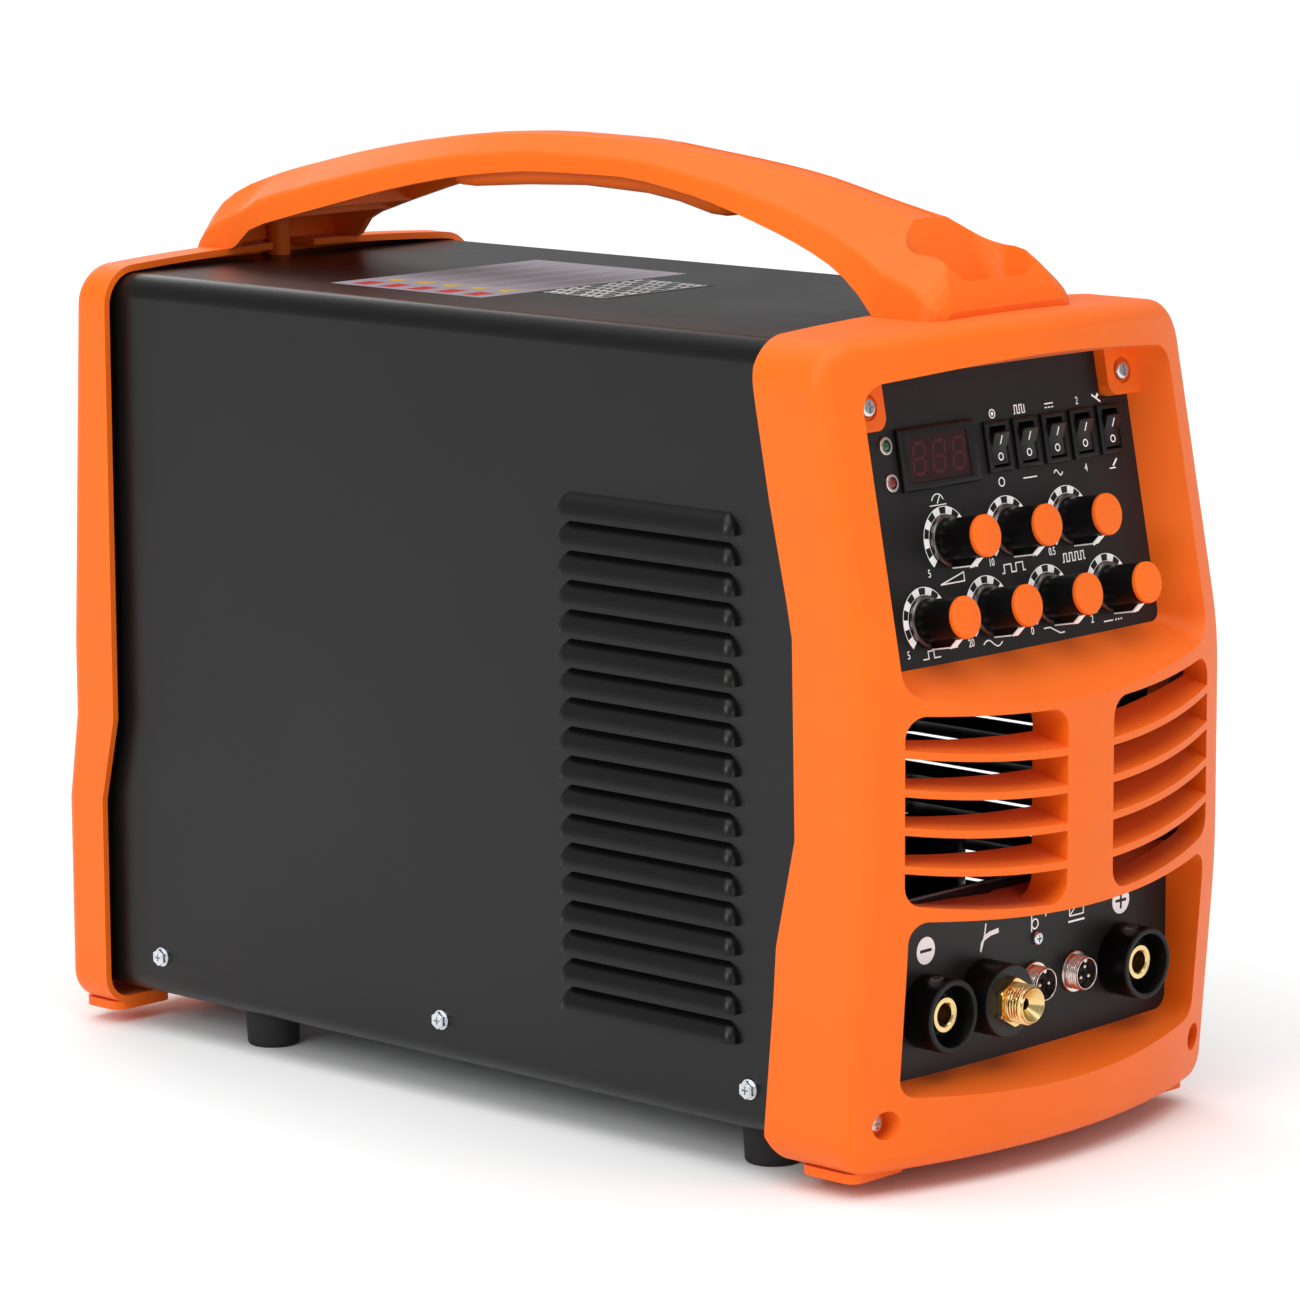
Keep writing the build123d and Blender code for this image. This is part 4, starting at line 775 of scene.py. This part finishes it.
def signal_shells():
    """Plated ring connectors with fine threads, a flange, a nut behind and the key inside."""
    points, faces = [], []
    for x in SIGNAL_X:
        place = turned_along_y(x, SOCKET_Z)
        add_to(points, faces, thread(x, SOCKET_Z, -7.1, -1.6, 7.3, 6.85, 0.92))
        shell = [(6.85, -7.1), (6.8, -7.4), (6.65, -7.5), (6.45, -7.5), (6.3, -7.35), (6.3, 10.0),
                 (7.1, 10.0), (7.1, 0.02), (8.5, 0.0), (8.8, -0.25), (8.8, -1.3), (8.5, -1.6),
                 (6.85, -1.6)]
        add_to(points, faces, lathe(shell, place, ROUND, closed=False))
        add_to(points, faces, hexagon(x, SOCKET_Z, 3.6, 6.0, 18.4, 7.1, 0.6))
        key = [at(x + a, y, SOCKET_Z + b) for y in (-6.6, -3.45) for a, b in
               ((-0.9, 6.45), (0.9, 6.45), (0.9, 5.0), (0.5, 4.7), (-0.5, 4.7), (-0.9, 5.0))]
        sides = [(i, (i + 1) % 6, 6 + (i + 1) % 6, 6 + i) for i in range(6)]
        add_to(points, faces, (key, sides + [tuple(range(6)), tuple(range(11, 5, -1))]))
    mesh = mesh_of("signal_shells", points, faces)
    body = piece("signal_shells", mesh, "bright_plating")
    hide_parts("signal_connectors")


# ---------------------------------------------------------------- handle
CREST_STEPS, CREST_Y0, CREST_STEP = 48, 52.0, 3.0
CREST_HALF, CREST_UP, CREST_DOWN = 0.45, 0.35, -0.6
ABOVE_HANDLE, CREST_Z = 430.0, 400.0


def crest_line():
    """Fine raised line along the far side of the handle's crest."""
    handle = NODES["handle"]
    to_local = handle.matrix_world.inverted()
    down = to_local.to_3x3() @ Vector((0, 0, -1))
    points, faces = [], []
    for i in range(CREST_STEPS + 1):
        y = CREST_Y0 + i * CREST_STEP
        x = 5.5 - 2.0 * i / CREST_STEPS
        row = []
        for u in (x - CREST_HALF, x + CREST_HALF):
            hit, place, _, _ = handle.ray_cast(to_local @ at(u, y, ABOVE_HANDLE), down)
            row.append((handle.matrix_world @ place) if hit else at(u, y, CREST_Z))
        for lift in (CREST_UP, CREST_DOWN):
            points += [p + Vector((0, 0, lift * MM)) for p in row]
    for i in range(CREST_STEPS):
        p = 4 * i
        faces += [(p, p + 1, p + 5, p + 4), (p + 2, p + 6, p + 7, p + 3),
                  (p, p + 4, p + 6, p + 2), (p + 1, p + 3, p + 7, p + 5)]
    p = 4 * CREST_STEPS
    faces += [(0, 2, 3, 1), (p, p + 1, p + 3, p + 2)]
    mesh = mesh_of("handle_crest_line", points, faces)
    piece("handle_crest_line", mesh, "orange_moulding", smooth=False)


# ---------------------------------------------------------------- cover edge
BOX_FACES = ((0, 1, 3, 2), (4, 6, 7, 5), (0, 4, 5, 1), (2, 3, 7, 6), (0, 2, 6, 4), (1, 5, 7, 3))


def cover_edges():
    """Strips that carry the cover's sides on under the waist of the front bezel."""
    inside_outside, front_back, bottom_top = (107.3, 108.35), (21.5, 29.97), (112.0, 256.0)
    points, faces = [], []
    for side in (-1, 1):
        box = [at(side * x, y, z) for x in inside_outside for y in front_back for z in bottom_top]
        add_to(points, faces, (box, BOX_FACES))
    mesh = mesh_of("cover_edges", points, faces)
    piece("cover_edges", mesh, "dark_powder_coat", smooth=False)


# ---------------------------------------------------------------- labels on top
def top_labels():
    """Two plain stand-in labels: blocks and rules, no words."""
    sheet = Print(on_top, 0.02, 0.10)
    sheet.bar(-71.3, 58.5, 243.0, 336.0)
    sheet.done("label_large", "label_lilac")
    rules = Print(on_top, 0.10, 0.13)
    marks = Print(on_top, 0.10, 0.14)
    warm = Print(on_top, 0.10, 0.14)
    half = 4.5
    for i in range(5):
        y = 323.0 - i * 17.0
        marks.bar(-67.0, -55.0, y - half, y + half)
        warm.area([(-50.0, y - half), (-39.0, y - half), (-44.5, y + 5.0)])
        for j in range(5):
            right, low = 52.0 - 9.0 * ((i + 2 * j) % 3), y - 4.6 + j * 2.3
            rules.bar(-34.0, right, low, low + 0.7)
    rules.done("label_rules", "ink_grey")
    marks.done("label_marks", "ink_red")
    warm.done("label_signs", "ink_yellow")
    plate = Print(on_top, 0.02, 0.08)
    plate.bar(-40.0, 30.0, 200.0, 242.0)
    plate.done("label_small", "panel_film")
    table = Print(on_top, 0.08, 0.11)
    thin, row_pitch, column_pitch = 0.35, 4.4, 8.2
    for j in range(9):
        y = 203.0 + j * row_pitch
        table.bar(-38.0, 28.0, y, y + thin)
        for i in range(8):
            if (i * 3 + j * 5) % 4:
                left = -36.0 + i * column_pitch
                table.bar(left, left + 5.0, y + 1.6, y + 2.8)
    for u in (-38.0, -18.0, 2.0, 27.6):
        table.bar(u, u + thin, 203.4, 238.2)
    table.done("label_table", "ink_white")


# ---------------------------------------------------------------- stage, light and camera
FLOOR_HALF = 60.0
FLOOR_WHITE = (0.93, 0.93, 0.93)
WORLD_LIGHT = 0.32
SKY_POWER, SKY_SPREAD, SKY_TOWARDS = 2.45, math.radians(75), (0.16, 0.06, -1.0)
LIGHT_TARGET = (0, 0, 0.2)
# Name, place, size and power of each soft lamp, in metres and watts.
SOFT_LAMPS = (
    ("key", (0.5, -2.8, 1.4), (0.8, 0.8), 3),
    ("fill", (-0.7, -2.9, 0.8), (0.5, 0.9), 6),
    ("side", (-2.9, -0.4, 1.7), (1.2, 1.2), 31),
    ("rear", (1.2, 2.8, 1.6), (1.6, 1.6), 16),
)
CAMERA_LENS, CAMERA_FILM, CAMERA_ROLL = 152.2, 36.0, math.radians(-0.27)
CAMERA_PLACE = (-1.7271, -1.4061 + PLANE_Y * MM, 0.5989)
CAMERA_LOOK = (0.71893, 0.67358, -0.17154)


def stage():
    """Plain pale floor."""
    size = FLOOR_HALF
    mesh = bpy.data.meshes.new("floor")
    corners = [(-size, -size, 0), (size, -size, 0), (size, size, 0), (-size, size, 0)]
    mesh.from_pydata(corners, [], [(0, 1, 2, 3)])
    floor = bpy.data.objects.new("floor", mesh)
    bpy.context.scene.collection.objects.link(floor)
    material, nodes, links, principled = shader("floor", FLOOR_WHITE, 0.8, specular=0.0)
    grain = noise(nodes, links, 3.0, 2.0)
    base = tint(nodes, links, grain.outputs["Fac"], FLOOR_WHITE, 0.99, 1.01)
    links.new(base.outputs["Color"], principled.inputs["Base Color"])
    mesh.materials.append(material)


def area_light(name, place, size, power):
    """A soft lamp that points at the middle of the machine."""
    data = bpy.data.lights.new(name, "AREA")
    data.shape = "RECTANGLE"
    data.size, data.size_y = size
    data.energy = power
    light = bpy.data.objects.new(name, data)
    light.location = place
    towards = Vector(LIGHT_TARGET) - Vector(place)
    light.rotation_euler = towards.to_track_quat("-Z", "Y").to_euler()
    bpy.context.scene.collection.objects.link(light)


def studio_world():
    """Faint even light all round, seen as plain white behind the floor."""
    world = bpy.data.worlds.new("studio")
    bpy.context.scene.world = world
    world.use_nodes = True
    nodes, links = world.node_tree.nodes, world.node_tree.links
    glow = nodes["Background"]
    glow.inputs["Color"].default_value = (1, 1, 1, 1)
    glow.inputs["Strength"].default_value = WORLD_LIGHT
    seen = nodes.new("ShaderNodeBackground")
    seen.inputs["Color"].default_value = (1, 1, 1, 1)
    ray, mix = nodes.new("ShaderNodeLightPath"), nodes.new("ShaderNodeMixShader")
    links.new(ray.outputs["Is Camera Ray"], mix.inputs["Fac"])
    links.new(glow.outputs["Background"], mix.inputs[1])
    links.new(seen.outputs["Background"], mix.inputs[2])
    links.new(mix.outputs["Shader"], nodes["World Output"].inputs["Surface"])


def lighting():
    """The world, a broad sky lamp overhead and the soft lamps."""
    studio_world()
    sun = bpy.data.lights.new("sky", "SUN")
    sun.energy = SKY_POWER
    sun.angle = SKY_SPREAD
    lamp = bpy.data.objects.new("sky", sun)
    lamp.rotation_euler = Vector(SKY_TOWARDS).to_track_quat("-Z", "Y").to_euler()
    bpy.context.scene.collection.objects.link(lamp)
    for soft_lamp in SOFT_LAMPS:
        area_light(*soft_lamp)


def camera():
    """Camera at the main viewing angle."""
    data = bpy.data.cameras.new("camera")
    data.sensor_width = CAMERA_FILM
    data.lens = CAMERA_LENS
    data.clip_start, data.clip_end = 0.05, 200.0
    data.dof.use_dof = False
    shot = bpy.data.objects.new("camera", data)
    shot.location = CAMERA_PLACE
    aim = Vector(CAMERA_LOOK).to_track_quat("-Z", "Y")
    shot.rotation_mode = "QUATERNION"
    shot.rotation_quaternion = aim @ Quaternion((0, 0, 1), CAMERA_ROLL)
    bpy.context.scene.collection.objects.link(shot)
    bpy.context.scene.camera = shot


dress_cad_nodes()
panel_prints()
meter_segments()
for knob_index in range(len(KNOBS)):
    knob_details(knob_index)
for rocker_index in range(ROCKERS):
    rocker_marks(rocker_index)
connector_prints()
barrel_marks()
gas_fitting()
signal_shells()
crest_line()
cover_edges()
top_labels()
stage()
lighting()
camera()
bpy.context.scene.view_settings.view_transform = "Standard"
